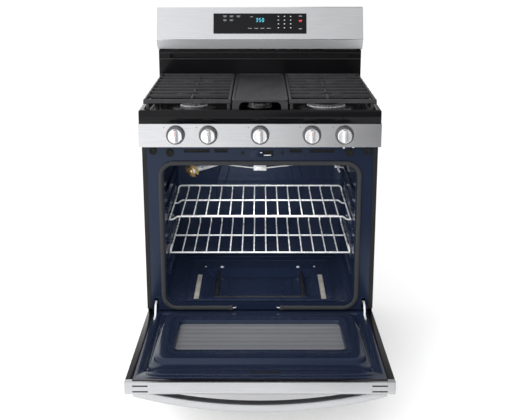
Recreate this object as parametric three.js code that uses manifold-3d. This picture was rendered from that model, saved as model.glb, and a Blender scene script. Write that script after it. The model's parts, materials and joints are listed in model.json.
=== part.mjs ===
// A freestanding gas range of the 30-inch class, with its oven door standing open.
// Millimetres. X runs to the right, Y to the back and Z up from the floor. The pieces are laid
// out with Y = 0 at the control panel's front, and the finished group is moved so that its
// origin is at the bottom centre of its box.
import * as THREE from 'three'
import { mergeVertices } from 'three/addons/utils/BufferGeometryUtils.js'
import Module from 'manifold-3d'

const wasm = await Module()
wasm.setup()

// ---------------------------------------------------------------- driving dimensions

const touchGap = 0.3 // air between two pieces that touch
const sheet = 1.2 // sheet-metal thickness

// body shell
const bodyWidth = 755
const bodyRear = 665
const legHeight = 40
const leg = { fromSide: 37.5, front: 90, fromRear: 35, footRadius: 20, footHeight: 9, studRadius: 6 }
const sideEdgeWidth = 14 // front flange of a side panel
const basePanWall = 18
const louvre = { place: 180, half: 60, height: 8, pitch: 30, rows: 4, fromTop: 170.7 }

// cooktop
const cooktopOverhang = 1 // past the body on each side
const cooktopTop = 914
const cooktopBand = 43
const wellDepth = 17
const wellRim = { side: 16, front: 10, rear: 8 }

// control panel and knobs
const panelOverhang = 2.5 // past the body on each side
const panelHeight = 74
const knobPlaces = [-264, -162, 0, 162, 264]
const knobAxisRise = 39 // above the panel's bottom edge
const knobRadius = 29
const knobSkirt = 6
const knobDepth = 32
const knobFaceDrop = 12 // grip bar proud of the knob's face
const knobTravel = 4 // push before the knob turns
const knobLift = 1.5 // air behind a knob that is pushed in
const knobBore = 18
const gripHalf = 8
const stemRadius = 4
const stemClearance = 0.6
const stemInsert = 8 // length of stem inside its valve
const stemHole = 3 // air around a stem where it passes the panel
const valve = { front: 26, rear: 50, half: 13 }
const gasPipe = { endGap: 60, front: 30, size: 16, rise: 6 }

// oven face and cavity
const facePlane = 54
const frameBottom = 228
const mouthMargin = { side: 67.5, top: 58 } // to the body's side and the control panel
const mouthBottom = 255
const mouthRadius = 36
const cavityDepth = 482
const cavityHeadroom = 2 // cavity roof above the mouth's top edge
const troughInset = 58 // from the mouth's side
const troughDepth = 20
const ledgeWidth = 14
const ledgeHeight = 8
const insulation = { thickness: 25, gap: 0.5 }
const gasketWidth = 15
const gasketProud = 10
const gasketBreak = [-97, 73] // gap in the gasket's bottom run
const gasketRadius = 52
const gasketGap = { side: 3, top: 2, bottom: 1 } // to the mouth's edge and the face's lower edge

// Slots above the mouth: left and right end, then the low and high edge below the control panel.
const faceSlots = [
  [-242, -161, 29, 19],
  [-144, -103, 29, 19],
  [96, 134, 29, 19],
  [160, 238, 29, 19],
  [-23, 43, 42, 23],
]

// oven fittings
const ovenFloorLap = 10 // floor panel past the trough on each side
const floorSlot = { inset: 38, width: 18, front: 40, rear: 290 }
const bakeTube = { radius: 7, half: 150, rise: 3, front: 60, rear: 70 }
const broiler = { half: 160, front: 150, rear: 420, bottom: 27, top: 11 } // heights below the roof
const mixer = { x: [-140, -222], y: [190, 116], belowRoof: [19, 47], radius: 11 }
const shutter = { radius: 24, thickness: 3 }
const lamp = { fromSide: 70, belowRoof: 101 }
const probe = { fromSide: 22, belowRoof: 129, length: 110, radius: 3 }

// racks
const rackWire = 6
const rackPlanes = [400, 517]
const rackSpacing = 58.5 // from one ledge to the next
const rackSetback = 89 // from the face to the rack's front rail
const rackDepth = 360
const rackSideGap = 2 // to the cavity's wall
const rackLongWires = 14
const rackStopHeight = 26 // raised rear rail

// backguard and riser: heights above the cooktop and depths from the body's rear
const backguardInset = 1.5 // from the body's side
const backguardRise = { bevel: 115, ridge: 155, top: 267 }
const backguardReach = { rear: 5, top: 47, bevel: 53, riser: 65, ridge: 90 }
const riserInset = 4 // from the backguard's side
const ventSlot = { inset: 42, rise: 86, height: 16 }
const display = { half: 169.5, low: 0.19, high: 0.81, thickness: 3 }

// burners: x, then y from the front or (negative) from the riser, then head radius
const burnerSpots = [
  ['left_front', -215, 150, 45],
  ['left_rear', -215, -185, 50],
  ['right_front', 215, 150, 63],
  ['right_rear', 215, -185, 38],
]
const ovalBurner = { half: 39, front: 110, fromRiser: 160 }
const throatRadius = 16
const throatClearance = 2
const headHeight = 19
const capHeight = 10
const capInset = 6

// grates and griddle
const grateRise = 31 // top above the cooktop
const grateBarHeight = 12
const grateBar = 10
const grateInner = 90
const grateSideGap = 14.5 // from the cooktop's side
const frontBars = [13, 103, 171, 236, 306] // front edge of each bar
const rearBars = [233, 168, 96, 22] // front edge of each bar, from the riser
const fingerReach = [22, 92] // from a burner's centre
const griddleHalf = 87.5
const griddleRim = 8
const griddlePlate = 5
const griddleDish = 3 // rim above the cooking face
const griddleSkirt = 5
const griddleArchHalf = 66

// door, closed: depths from the control panel's front
const doorInset = 1.5 // from the body's side
const doorFront = 3
const doorBottom = 195
const doorGap = 7 // to the control panel
const doorFlange = 42 // depth of the liner's rim
const doorPlug = 50 // depth of the liner's raised field
const pivotDepth = 40
const pivotHeight = 222
const doorOpenAngle = 87.5
const doorCornerRadius = 12
const linerMargin = { side: 20, bottom: 5.3, top: 23 } // skin's folded edge around the liner
const plugClearance = 2 // between the raised field and the gasket
const plugDrop = 150 // raised field's upper end below the door's top
const linerChannel = { inset: 22, low: 5, drop: 79, depth: 8 }
const linerRidge = { height: 24, proud: 1.2 }
const innerWindow = { inset: 54.5, low: 97, drop: 226, recess: 13, radius: 14 }
const outerWindow = { inset: 91, low: 85, drop: 196, radius: 18 }
const paneLap = { inner: 10, outer: 12 }
const glass = 4
const airSlot = { outer: 22, length: 43, width: 4, depths: [8.8, 25.6] }
const handleInset = 17
const handleStandoff = 65
const handleEndStandoff = 18
const handleThickness = 28
const handleTall = 26
const handleDrop = 40 // handle's centre below the door's top
const hingeArm = { inset: 31.5, width: 6, radius: 38, thickness: 6, foot: 72, clearance: 3 }
const swingRoom = 4 // air around the door's lower edge as it turns

// drawer
const drawerFrontPlane = 3
const drawerDepth = 45 // front panel's folded edge
const drawerLift = 15 // above the base pan
const drawerRoom = 3 // under the swinging door
const drawerSlope = { shoulder: [19, 8], rear: 14 }
const drawerBoxInset = 25.5
const drawerBoxRearGap = 65
const drawerBoxTop = 159

// ---------------------------------------------------------------- values that follow

const bodyHalf = bodyWidth / 2
const sideInner = bodyHalf - sheet
const cooktopHalf = bodyHalf + cooktopOverhang
const cooktopBottom = cooktopTop - cooktopBand
const panelHalf = bodyHalf + panelOverhang
const panelTop = cooktopBottom - touchGap
const panelBottom = cooktopBottom - panelHeight
const knobAxis = panelBottom + knobAxisRise
const knobBack = -(knobTravel + knobLift)
const wellFloor = cooktopTop - wellDepth
const faceBack = facePlane + sheet
const mouthHalf = bodyHalf - mouthMargin.side
const mouthTop = panelBottom - mouthMargin.top
const cavityFront = faceBack + touchGap
const cavityRear = faceBack + cavityDepth
const cavityRoof = mouthTop + cavityHeadroom
const cavityFloor = mouthBottom + sheet
const troughHalf = mouthHalf - troughInset
const troughFloor = cavityFloor - troughDepth
const floorPanelTop = cavityFloor + touchGap + sheet
const gasketInner = mouthHalf + gasketGap.side
const gasketBottom = frameBottom + gasketGap.bottom
const gasketTop = mouthTop + gasketGap.top
const rackHalf = mouthHalf - rackSideGap
const riserFront = bodyRear - backguardReach.riser
const backguardHalf = bodyHalf - backguardInset
const backguardOutline = {
  rear: bodyRear - backguardReach.rear,
  bevel: [bodyRear - backguardReach.bevel, cooktopTop + backguardRise.bevel],
  ridge: [bodyRear - backguardReach.ridge, cooktopTop + backguardRise.ridge],
  top: [bodyRear - backguardReach.top, cooktopTop + backguardRise.top],
}
const roundBurners = burnerSpots.map(([name, x, y, radius]) => [
  name,
  x,
  y < 0 ? riserFront + y : y,
  radius,
])
const ovalRear = riserFront - ovalBurner.fromRiser
const ovalMiddle = (ovalBurner.front + ovalRear) / 2
const grateTop = cooktopTop + grateRise
const grateBottom = grateTop - grateBarHeight
const grateOuter = cooktopHalf - grateSideGap
const grateBars = [...frontBars, ...rearBars.map((back) => riserFront - back)]
const grateRear = grateBars.at(-1) + grateBar
const doorHalf = bodyHalf - doorInset
const doorTop = panelBottom - doorGap
const doorSwing = THREE.MathUtils.degToRad(doorOpenAngle)
const armPlace = bodyHalf - hingeArm.inset
const bothSides = [-1, 1]

// ---------------------------------------------------------------- solids

const X = new THREE.Vector3(1, 0, 0)
const Y = new THREE.Vector3(0, 1, 0)
const Z = new THREE.Vector3(0, 0, 1)

// A closed geometry as a solid, with its corners merged and its faces turned outwards.
function solid(source) {
  const bare = new THREE.BufferGeometry()
  const flat = source.index ? source.toNonIndexed() : source
  bare.setAttribute('position', flat.getAttribute('position'))
  const merged = mergeVertices(bare, 1e-4)
  const outward = []
  const inward = []
  for (let i = 0; i < merged.index.count; i += 3) {
    const [a, b, c] = [0, 1, 2].map((k) => merged.index.getX(i + k))
    if (a === b || b === c || c === a) continue
    outward.push(a, b, c)
    inward.push(a, c, b)
  }
  const made = (triangles) =>
    new wasm.Manifold(
      new wasm.Mesh({
        numProp: 3,
        vertProperties: merged.getAttribute('position').array,
        triVerts: new Uint32Array(triangles),
      }),
    )
  const first = made(outward)
  return first.volume() > 0 ? first : made(inward)
}

function block(x0, x1, y0, y1, z0, z1) {
  const box = new THREE.BoxGeometry(x1 - x0, y1 - y0, z1 - z0)
  return solid(box.translate((x0 + x1) / 2, (y0 + y1) / 2, (z0 + z1) / 2))
}

// A block that is the same on both sides of the middle.
const wideBlock = (half, y0, y1, z0, z1) => block(-half, half, y0, y1, z0, z1)

// A block on one side only; side is -1 for the left and 1 for the right.
function sideBlock(side, near, far, y0, y1, z0, z1) {
  const ends = [side * near, side * far].sort((a, b) => a - b)
  return block(...ends, y0, y1, z0, z1)
}

// An outline pushed along one axis: it lies in Y-Z for x, in X-Z for y and in X-Y for z.
const lay = {
  x: new THREE.Matrix4().makeBasis(Y, Z, X),
  y: new THREE.Matrix4().makeBasis(X, Z, Y.clone().negate()),
  z: new THREE.Matrix4(),
}

function prism(axis, outline, from, to, curveSegments = 6) {
  const shape = outline instanceof THREE.Shape
    ? outline
    : new THREE.Shape(outline.map(([u, v]) => new THREE.Vector2(u, v)))
  const pushed = new THREE.ExtrudeGeometry(shape, {
    depth: to - from,
    bevelEnabled: false,
    curveSegments,
  })
  pushed.translate(0, 0, axis === 'y' ? -to : from)
  return solid(pushed.applyMatrix4(lay[axis]))
}

function roundedRect(u0, u1, v0, v1, r) {
  const shape = new THREE.Shape()
  shape.absarc(u0 + r, v0 + r, r, Math.PI, 1.5 * Math.PI)
  shape.absarc(u1 - r, v0 + r, r, 1.5 * Math.PI, 2 * Math.PI)
  shape.absarc(u1 - r, v1 - r, r, 0, 0.5 * Math.PI)
  shape.absarc(u0 + r, v1 - r, r, 0.5 * Math.PI, Math.PI)
  shape.closePath()
  return shape
}

function rod(from, to, radius, sides = 8) {
  const [a, b] = [new THREE.Vector3(...from), new THREE.Vector3(...to)]
  const run = b.clone().sub(a)
  const bar = new THREE.CylinderGeometry(radius, radius, run.length(), sides)
  bar.applyQuaternion(new THREE.Quaternion().setFromUnitVectors(Y, run.clone().normalize()))
  return solid(bar.translate(...a.add(b).divideScalar(2).toArray()))
}

// A turned piece about +Z, from [radius, height] pairs.
function turned(profile, x, y, segments = 24) {
  const points = profile.map(([r, z]) => new THREE.Vector2(r, z))
  const piece = new THREE.LatheGeometry(points, segments)
  return solid(piece.rotateX(Math.PI / 2).translate(x, y, 0))
}

// A turned piece that points to the front, from [radius, distance forward] pairs.
function turnedForward(profile, x, y, z, segments = 24) {
  const points = profile.map(([r, out]) => new THREE.Vector2(r, out))
  const piece = new THREE.LatheGeometry(points, segments)
  return solid(piece.rotateX(Math.PI).translate(x, y, z))
}

const joined = (pieces) => pieces.reduce((whole, piece) => whole.add(piece))

// ---------------------------------------------------------------- finishes

const finish = (color, roughness, metalness) =>
  new THREE.MeshStandardMaterial({ color, roughness, metalness })

const steel = finish(0xc9cbcd, 0.3, 1)
const darkSteel = finish(0x6d7073, 0.4, 1)
const zinc = finish(0xb9a46a, 0.4, 1)
const chromeWire = finish(0xd4d6d8, 0.15, 1)
const blackPaint = finish(0x15161a, 0.35, 0)
const ovenEnamel = finish(0x272c42, 0.3, 0)
const castIron = finish(0x232326, 0.6, 0.2)
const aluminium = finish(0xb9bbbd, 0.4, 1)
const blackGlass = finish(0x0b0c0f, 0.05, 0)
const clearGlass = finish(0xa7adb2, 0.05, 0)
const glassCloth = finish(0x8a8378, 0.9, 0)
const fibre = finish(0xd8d1bd, 0.95, 0)
const galvanised = finish(0x9a9ea1, 0.5, 1)

const range = new THREE.Group()
const door = new THREE.Group()
door.position.set(0, pivotDepth, pivotHeight)
door.rotation.x = doorSwing
range.add(door)

function part(name, shape, material, parent = range) {
  const { vertProperties, triVerts } = shape.getMesh()
  const geometry = new THREE.BufferGeometry()
  geometry.setAttribute('position', new THREE.BufferAttribute(vertProperties, 3))
  geometry.setIndex(new THREE.BufferAttribute(triVerts, 1))
  geometry.computeVertexNormals()
  const mesh = new THREE.Mesh(geometry, material)
  mesh.name = name
  parent.add(mesh)
}

// ---------------------------------------------------------------- body shell

// The lower edge of the door swings back past the face, so both panels are notched for it.
function sidePanel(side) {
  const plate = sideBlock(side, sideInner, bodyHalf, facePlane, bodyRear, legHeight, panelTop)
  const edge = bodyHalf - sideEdgeWidth
  const flange = sideBlock(side, edge, bodyHalf, facePlane, faceBack, legHeight, panelTop)
  const lowerEdge = pivotHeight - doorBottom
  const cornerReach = Math.hypot(pivotDepth - doorFront, lowerEdge)
  const notch = sideBlock(
    side,
    edge - 1,
    bodyHalf + 1,
    facePlane - 1,
    pivotDepth + lowerEdge + swingRoom,
    pivotHeight - cornerReach - swingRoom,
    frameBottom + swingRoom,
  )
  return plate.add(flange).subtract(notch)
}

// The pan's floor carries the drawer, and its low walls stand inside the side panels.
function basePan() {
  const half = sideInner - touchGap
  const outline = [
    [-half, legHeight],
    [half, legHeight],
    [half, legHeight + basePanWall],
    [half - sheet, legHeight + basePanWall],
    [half - sheet, legHeight + sheet],
    [sheet - half, legHeight + sheet],
    [sheet - half, legHeight + basePanWall],
    [-half, legHeight + basePanWall],
  ]
  return prism('y', outline, faceBack + touchGap, bodyRear - sheet - touchGap)
}

function rearCover() {
  const half = sideInner - touchGap
  const front = bodyRear - sheet
  let cover = wideBlock(half, front, bodyRear, legHeight, panelTop)
  for (let row = 0; row < louvre.rows; row++) {
    const z = panelTop - louvre.fromTop + louvre.pitch * row
    for (const side of bothSides) {
      const [near, far] = [louvre.place - louvre.half, louvre.place + louvre.half]
      const slot = sideBlock(side, near, far, front - 1, bodyRear + 1, z, z + louvre.height)
      cover = cover.subtract(slot)
    }
  }
  return cover
}

function levelLeg(x, y) {
  const { footRadius, footHeight, studRadius } = leg
  const profile = [
    [0, 0],
    [footRadius, 0],
    [footRadius, footHeight - 3],
    [footRadius - 3, footHeight],
    [studRadius, footHeight],
    [studRadius, legHeight - touchGap],
    [0, legHeight - touchGap],
  ]
  return turned(profile, x, y, 16)
}

// ---------------------------------------------------------------- oven

function frontFrame() {
  const half = bodyHalf - sideEdgeWidth - touchGap
  const armSlotHalf = hingeArm.width / 2 + hingeArm.clearance
  let frame = wideBlock(half, facePlane, faceBack, frameBottom, panelTop - 3)
  const mouth = roundedRect(-mouthHalf, mouthHalf, mouthBottom, mouthTop, mouthRadius)
  frame = frame.subtract(prism('y', mouth, facePlane - 1, faceBack + 1))
  for (const [x0, x1, low, high] of faceSlots) {
    const [z0, z1] = [panelBottom - low, panelBottom - high]
    frame = frame.subtract(block(x0, x1, facePlane - 1, faceBack + 1, z0, z1))
  }
  for (const side of bothSides) {
    const near = armPlace - armSlotHalf
    const far = armPlace + armSlotHalf
    const top = pivotHeight + hingeArm.radius + 8
    const slot = sideBlock(side, near, far, facePlane - 1, faceBack + 1, frameBottom + 4, top)
    frame = frame.subtract(slot)
  }
  return frame
}

// A box with an open front, a narrower trough under its floor, and ledges for the racks.
function ovenLiner() {
  const rear = cavityRear
  const main = (grow) =>
    roundedRect(
      -mouthHalf - grow,
      mouthHalf + grow,
      cavityFloor - grow,
      cavityRoof + grow,
      mouthRadius / 2 + grow,
    )
  const floorRadius = mouthRadius / 2
  const troughOuter = troughHalf + sheet
  let liner = prism('y', main(sheet), cavityFront, rear + sheet, 4)
  const low = troughFloor - sheet
  liner = liner.add(wideBlock(troughOuter, cavityFront, rear + sheet, low, cavityFloor))
  liner = liner.subtract(prism('y', main(0), cavityFront - 1, rear, 4))
  const trough = wideBlock(troughHalf, cavityFront - 1, rear, troughFloor, cavityFloor + floorRadius)
  liner = liner.subtract(trough)
  const lowest = rackPlanes[0] - rackWire / 2 - touchGap - rackSpacing
  const ledges = Math.floor((cavityRoof - mouthRadius - lowest) / rackSpacing)
  for (let step = 0; step < ledges; step++) {
    const top = lowest + step * rackSpacing
    for (const side of bothSides) {
      const near = mouthHalf - ledgeWidth
      const far = mouthHalf + sheet / 2
      const front = facePlane + rackSetback - rackWire
      liner = liner.add(sideBlock(side, near, far, front, rear + 1, top - ledgeHeight, top))
    }
  }
  return liner
}

function ovenFloor() {
  const half = troughHalf + ovenFloorLap
  const bottom = cavityFloor + touchGap
  const front = cavityFront + 2
  let panel = wideBlock(half, front, cavityRear - 2, bottom, floorPanelTop)
  for (const side of bothSides) {
    const far = half - floorSlot.inset
    const near = far - floorSlot.width
    const [y0, y1] = [front + floorSlot.front, front + floorSlot.rear]
    panel = panel.subtract(sideBlock(side, near, far, y0, y1, bottom - 1, floorPanelTop + 1))
  }
  return panel
}

function bakeBurner() {
  const { radius: tube, half } = bakeTube
  const z = troughFloor + tube + bakeTube.rise
  const [front, rear] = [cavityFront + bakeTube.front, cavityRear - bakeTube.rear]
  return joined([
    rod([-half, front - tube, z], [-half, rear + tube, z], tube),
    rod([half, front - tube, z], [half, rear + tube, z], tube),
    rod([-half - tube, front, z], [half + tube, front, z], tube),
    rod([-half - tube, rear, z], [half + tube, rear, z], tube),
    rod([0, rear, z], [0, cavityRear - touchGap, z], tube),
  ])
}

// The broiler's mixing tube slopes down to the left.
const mixerEnds = [0, 1].map((k) => [mixer.x[k], mixer.y[k], cavityRoof - mixer.belowRoof[k]])

// A flat tray burner under the roof, open below, with its mixing tube and a bracket in front.
function broilBurner() {
  const { half, front, rear } = broiler
  const [low, high] = [cavityRoof - broiler.bottom, cavityRoof - broiler.top]
  const wire = 2.5
  const wireEnd = [half - 10, front - 10, high - 4]
  const bracket = { half: 19, front: front - 22, rear: front + 2, drop: 10, lift: 8 }
  const tray = wideBlock(half, front, rear, low, high)
  const pocket = wideBlock(half - 40, front + 30, rear - 30, low - 1, high - sheet)
  const pieces = [
    tray.subtract(pocket),
    wideBlock(40, front + 50, rear - 50, high - sheet / 2, cavityRoof - touchGap),
    rod(mixerEnds[0], mixerEnds[1], mixer.radius, 12),
    wideBlock(bracket.half, bracket.front, bracket.rear, low - bracket.drop, low + bracket.lift),
  ]
  for (const side of bothSides) {
    const [x, y, z] = wireEnd
    pieces.push(rod([side * x, y, z], [0, y, z - 8], wire))
    pieces.push(sideBlock(side, x - wire, x + wire, y - wire, front + 1, z - wire, high))
  }
  return joined(pieces)
}

function broilAirShutter() {
  const [from, to] = mixerEnds.map((point) => new THREE.Vector3(...point))
  const along = to.clone().sub(from).normalize()
  const onward = (distance) => to.clone().addScaledVector(along, distance).toArray()
  const far = touchGap + shutter.thickness
  const disc = rod(onward(touchGap), onward(far), shutter.radius, 24)
  return disc.subtract(rod(onward(-1), onward(far + 1), mixer.radius / 2, 8))
}

function ovenLamp() {
  const profile = [
    [0, 0],
    [24, 0],
    [24, 6],
    [19, 14],
    [11, 22],
    [0, 25],
  ]
  const [x, z] = [mouthHalf - lamp.fromSide, cavityRoof - lamp.belowRoof]
  return turnedForward(profile, x, cavityRear - touchGap, z, 16)
}

function temperatureProbe() {
  const [x, z] = [mouthHalf - probe.fromSide, cavityRoof - probe.belowRoof]
  const rear = cavityRear - touchGap
  return joined([
    rod([x, rear, z], [x, rear - probe.length, z], probe.radius),
    block(x - 7, x + 7, rear - 3, rear, z - 12, z + 9),
    block(x - 5, x + 5, rear - 70, rear - 64, z - 5, z + 9),
  ])
}

// One ribbon of woven seal around the mouth, open for a stretch of its bottom run.
function doorGasket() {
  const [front, rear] = [facePlane - gasketProud, facePlane - touchGap]
  const ring = (inset) => {
    const half = gasketInner + gasketWidth - inset
    const radius = gasketRadius - inset
    return roundedRect(-half, half, gasketBottom + inset, gasketTop - inset, radius)
  }
  const whole = prism('y', ring(0), front, rear, 6)
  const inside = prism('y', ring(gasketWidth), front - 1, rear + 1, 6)
  const low = gasketBottom - 1
  const gap = block(...gasketBreak, front - 1, rear + 1, low, low + gasketWidth + 4)
  return whole.subtract(inside).subtract(gap)
}

// Fibre jacket over the cavity's sides, top and rear.
function insulationBlanket() {
  const { thickness: thick, gap } = insulation
  const [half, front, low] = [mouthHalf + sheet + gap, cavityFront + 2, cavityFloor + 3]
  const top = cavityRoof + sheet + gap
  const rear = cavityRear + sheet + gap
  const outer = wideBlock(half + thick, front, rear + thick, low, top + thick)
  return outer.subtract(wideBlock(half, front - 1, rear, low - 1, top))
}

// An oven rack as one flat grid with a raised rear rail.
function ovenRack(plane) {
  const r = rackWire / 2
  const front = facePlane + rackSetback - r
  const rear = front + rackDepth + rackWire
  const middle = (front + rear) / 2
  const cells = rackLongWires + 1
  const pitch = (2 * (rackHalf - r)) / cells
  let flat = wideBlock(rackHalf, front, rear, plane - r, plane + r)
  for (let i = 0; i < cells; i++) {
    const x0 = rackWire - rackHalf + i * pitch
    const x1 = x0 + pitch - rackWire
    for (const [y0, y1] of [
      [front + rackWire, middle - r],
      [middle + r, rear - rackWire],
    ]) {
      flat = flat.subtract(block(x0, x1, y0, y1, plane - rackWire, plane + rackWire))
    }
  }
  const stop = wideBlock(rackHalf - 4, rear - rackWire, rear, plane, plane + rackStopHeight)
  const opening = wideBlock(rackHalf - 12, rear - 9, rear + 1, plane + r, plane + rackStopHeight - 6)
  return flat.add(stop.subtract(opening))
}

// ---------------------------------------------------------------- cooktop

const cooktopRear = backguardOutline.rear - 20

function cooktop() {
  const half = cooktopHalf
  const wellHalf = half - wellRim.side
  const [wellFront, wellRear] = [wellRim.front, riserFront - wellRim.rear]
  const outer = wideBlock(half, 0, cooktopRear, cooktopBottom, cooktopTop)
  const under = wideBlock(
    half - sheet,
    sheet,
    cooktopRear - sheet,
    cooktopBottom - 1,
    cooktopTop - sheet,
  )
  const tub = wideBlock(
    wellHalf + sheet,
    wellFront - sheet,
    wellRear + sheet,
    wellFloor - sheet,
    cooktopTop,
  )
  const well = wideBlock(wellHalf, wellFront, wellRear, wellFloor, cooktopTop + 1)
  let top = outer.subtract(under.subtract(tub)).subtract(well)
  for (const [, x, y] of roundBurners) top = top.subtract(throatHole(x, y))
  return top.subtract(throatHole(0, ovalMiddle))
}

function throatHole(x, y) {
  const [low, high] = [wellFloor - 2 * sheet, wellFloor + sheet]
  return rod([x, y, low], [x, y, high], throatRadius + throatClearance, 16)
}

const throat = (x, y) =>
  rod([x, y, wellFloor - 16], [x, y, wellFloor + 2 + touchGap], throatRadius, 12)

function burnerHead(x, y, radius) {
  const seat = wellFloor + touchGap
  const profile = [
    [0, seat],
    [radius - 3, seat],
    [radius, seat + 3],
    [radius, seat + 9],
    [radius - 5, seat + 12],
    [radius - 7, seat + headHeight],
    [0, seat + headHeight],
  ]
  return turned(profile, x, y, 24).add(throat(x, y))
}

function burnerCap(x, y, radius) {
  const seat = wellFloor + headHeight + 2 * touchGap
  const profile = [
    [0, seat],
    [radius - capInset - 2, seat],
    [radius - capInset, seat + 2],
    [radius - capInset, seat + 5],
    [radius - capInset - 4, seat + capHeight - 1],
    [0, seat + capHeight],
  ]
  return turned(profile, x, y, 24)
}

const oval = (inset) =>
  roundedRect(
    inset - ovalBurner.half,
    ovalBurner.half - inset,
    ovalBurner.front + inset,
    ovalRear - inset,
    ovalBurner.half - inset - 0.01,
  )

function ovalHead() {
  const seat = wellFloor + touchGap
  const base = prism('z', oval(0), seat, seat + 10, 5)
  const crown = prism('z', oval(capInset), seat + 9, seat + headHeight, 5)
  return base.add(crown).add(throat(0, ovalMiddle))
}

function ovalCap() {
  const seat = wellFloor + headHeight + 2 * touchGap
  const brim = prism('z', oval(capInset), seat, seat + 5, 5)
  return brim.add(prism('z', oval(capInset + 4), seat + 4, seat + capHeight, 5))
}

// A cast grate: bars from side to side, two long rails, fingers over the burners and feet.
function grate(side) {
  const well = cooktopHalf - wellRim.side
  const rail = (near) =>
    sideBlock(side, near, near + grateBar, grateBars[0], grateRear, grateBottom, grateTop)
  const pieces = [rail(grateInner), rail(grateOuter - grateBar)]
  for (const y of grateBars) {
    pieces.push(
      sideBlock(side, grateInner + 1, grateOuter - 1, y, y + grateBar, grateBottom, grateTop),
    )
  }
  for (const [, x, y] of roundBurners.filter((burner) => Math.sign(burner[1]) === side)) {
    const half = grateBar / 2
    for (const way of bothSides) {
      const ends = fingerReach.map((reach) => y + way * reach).sort((a, b) => a - b)
      pieces.push(block(x - half, x + half, ...ends, grateBottom, grateTop - 1))
    }
  }
  for (const y of [grateBars[0], grateBars[4], grateBars.at(-1)]) {
    for (const near of [grateInner + 1, well - grateBar - 2]) {
      const far = near + grateBar
      pieces.push(
        sideBlock(side, near, far, y, y + grateBar, wellFloor + touchGap, grateBottom + 1),
      )
    }
  }
  return joined(pieces)
}

// A flat plate with a raised rim; its front skirt is arched over the burner.
function griddle() {
  const [front, rear] = [grateBars[0], grateRear]
  const half = griddleHalf
  const underside = grateTop - griddlePlate - griddleDish
  const plate = wideBlock(half, front, rear, underside, grateTop)
  const field = wideBlock(
    half - griddleRim,
    front + griddleRim,
    rear - griddleRim,
    grateTop - griddleDish,
    grateTop + 1,
  )
  const skirtBottom = cooktopTop - 8
  const arch = roundedRect(-griddleArchHalf, griddleArchHalf, skirtBottom - 20, underside, 16)
  const pieces = [plate.subtract(field)]
  for (const y of [front, rear - griddleSkirt]) {
    const back = y + griddleSkirt
    const skirt = wideBlock(half, y, back, skirtBottom, underside + 1)
    pieces.push(skirt.subtract(prism('y', arch, y - 1, back + 1)))
    for (const side of bothSides) {
      const low = wellFloor + touchGap
      pieces.push(sideBlock(side, half - 16, half - 2, y, back, low, skirtBottom + 1))
    }
  }
  return joined(pieces)
}

// ---------------------------------------------------------------- controls

// A channel with closed ends, drilled for the valve stems.
function controlPanel() {
  const half = panelHalf
  const rear = facePlane - touchGap
  const shell = wideBlock(half, 0, rear, panelBottom, panelTop)
  let panel = shell.subtract(
    wideBlock(half - sheet, sheet, rear + 1, panelBottom + sheet, panelTop - sheet),
  )
  for (const x of knobPlaces) {
    const hole = rod([x, -1, knobAxis], [x, sheet + 1, knobAxis], stemRadius + stemHole, 12)
    panel = panel.subtract(hole)
  }
  return panel
}

// A square pipe with one valve body over each stem.
function gasManifold() {
  const { front, size, rise } = gasPipe
  const low = panelBottom + rise
  const pieces = [wideBlock(panelHalf - gasPipe.endGap, front, front + size, low, low + size)]
  for (const x of knobPlaces) {
    const [x0, x1] = [x - valve.half, x + valve.half]
    pieces.push(block(x0, x1, valve.front, valve.rear, low + size - 2, knobAxis + valve.half + 1))
  }
  let manifold = joined(pieces)
  for (const x of knobPlaces) {
    const depth = stemInsert + knobTravel + 2
    const bore = rod(
      [x, valve.front - 1, knobAxis],
      [x, valve.front + depth, knobAxis],
      stemRadius + stemClearance,
      12,
    )
    manifold = manifold.subtract(bore)
  }
  return manifold
}

function valveStem(x) {
  const front = knobBack - knobBore + 1
  return rod([x, front, knobAxis], [x, valve.front + stemInsert, knobAxis], stemRadius, 12)
}

// A skirted knob with a grip bar across its face, bored from behind for its stem.
function knob(x) {
  const waist = knobRadius - 6
  const profile = [
    [0, -knobBack],
    [knobRadius, -knobBack],
    [knobRadius, -knobBack + knobSkirt - 1.5],
    [knobRadius - 1.5, -knobBack + knobSkirt],
    [waist, -knobBack + knobSkirt],
    [waist - 2, -knobBack + knobDepth - knobFaceDrop],
    [0, -knobBack + knobDepth - knobFaceDrop],
  ]
  const body = turnedForward(profile, x, 0, knobAxis, 24)
  const grip = roundedRect(
    x - gripHalf,
    x + gripHalf,
    knobAxis - waist + 2,
    knobAxis + waist - 2,
    gripHalf - 0.5,
  )
  const bar = prism('y', grip, knobBack - knobDepth, knobBack - knobSkirt, 4)
  const bore = rod(
    [x, knobBack + 1, knobAxis],
    [x, knobBack - knobBore, knobAxis],
    stemRadius + stemClearance,
    12,
  )
  return body.add(bar).subtract(bore)
}

// ---------------------------------------------------------------- backguard

// A point on the backguard's leaning upper face: share is 0 at the ridge and 1 at the top.
function onUpperFace(share) {
  const { ridge, top } = backguardOutline
  return [0, 1].map((k) => ridge[k] + share * (top[k] - ridge[k]))
}

// Unit vectors up along the leaning face and straight out of it.
const leanUp = new THREE.Vector2(...onUpperFace(1)).sub(new THREE.Vector2(...onUpperFace(0)))
leanUp.normalize()
const leanOut = new THREE.Vector2(-leanUp.y, leanUp.x)

// The closed outline of the backguard's section, drawn in by a distance on the three front faces.
function backguardSection(inset) {
  const { rear, bevel, ridge, top } = backguardOutline
  return [
    [bevel[0] + inset, bevel[1] + inset],
    [ridge[0] + 1.35 * inset, ridge[1] + 0.15 * inset],
    [top[0] + 0.7 * inset, top[1] - inset],
    [rear + inset, top[1] - inset],
    [rear + inset, bevel[1] + inset],
  ]
}

function backguardPanel() {
  const half = backguardHalf
  const whole = prism('x', backguardSection(0), -half, half)
  const hollow = prism('x', backguardSection(sheet), -half - 1, half + 1)
  const { rear, bevel } = backguardOutline
  const open = wideBlock(half + 1, bevel[0] + 8, rear + 1, bevel[1] - 1, bevel[1] + 3)
  return whole.subtract(hollow).subtract(open)
}

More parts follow.
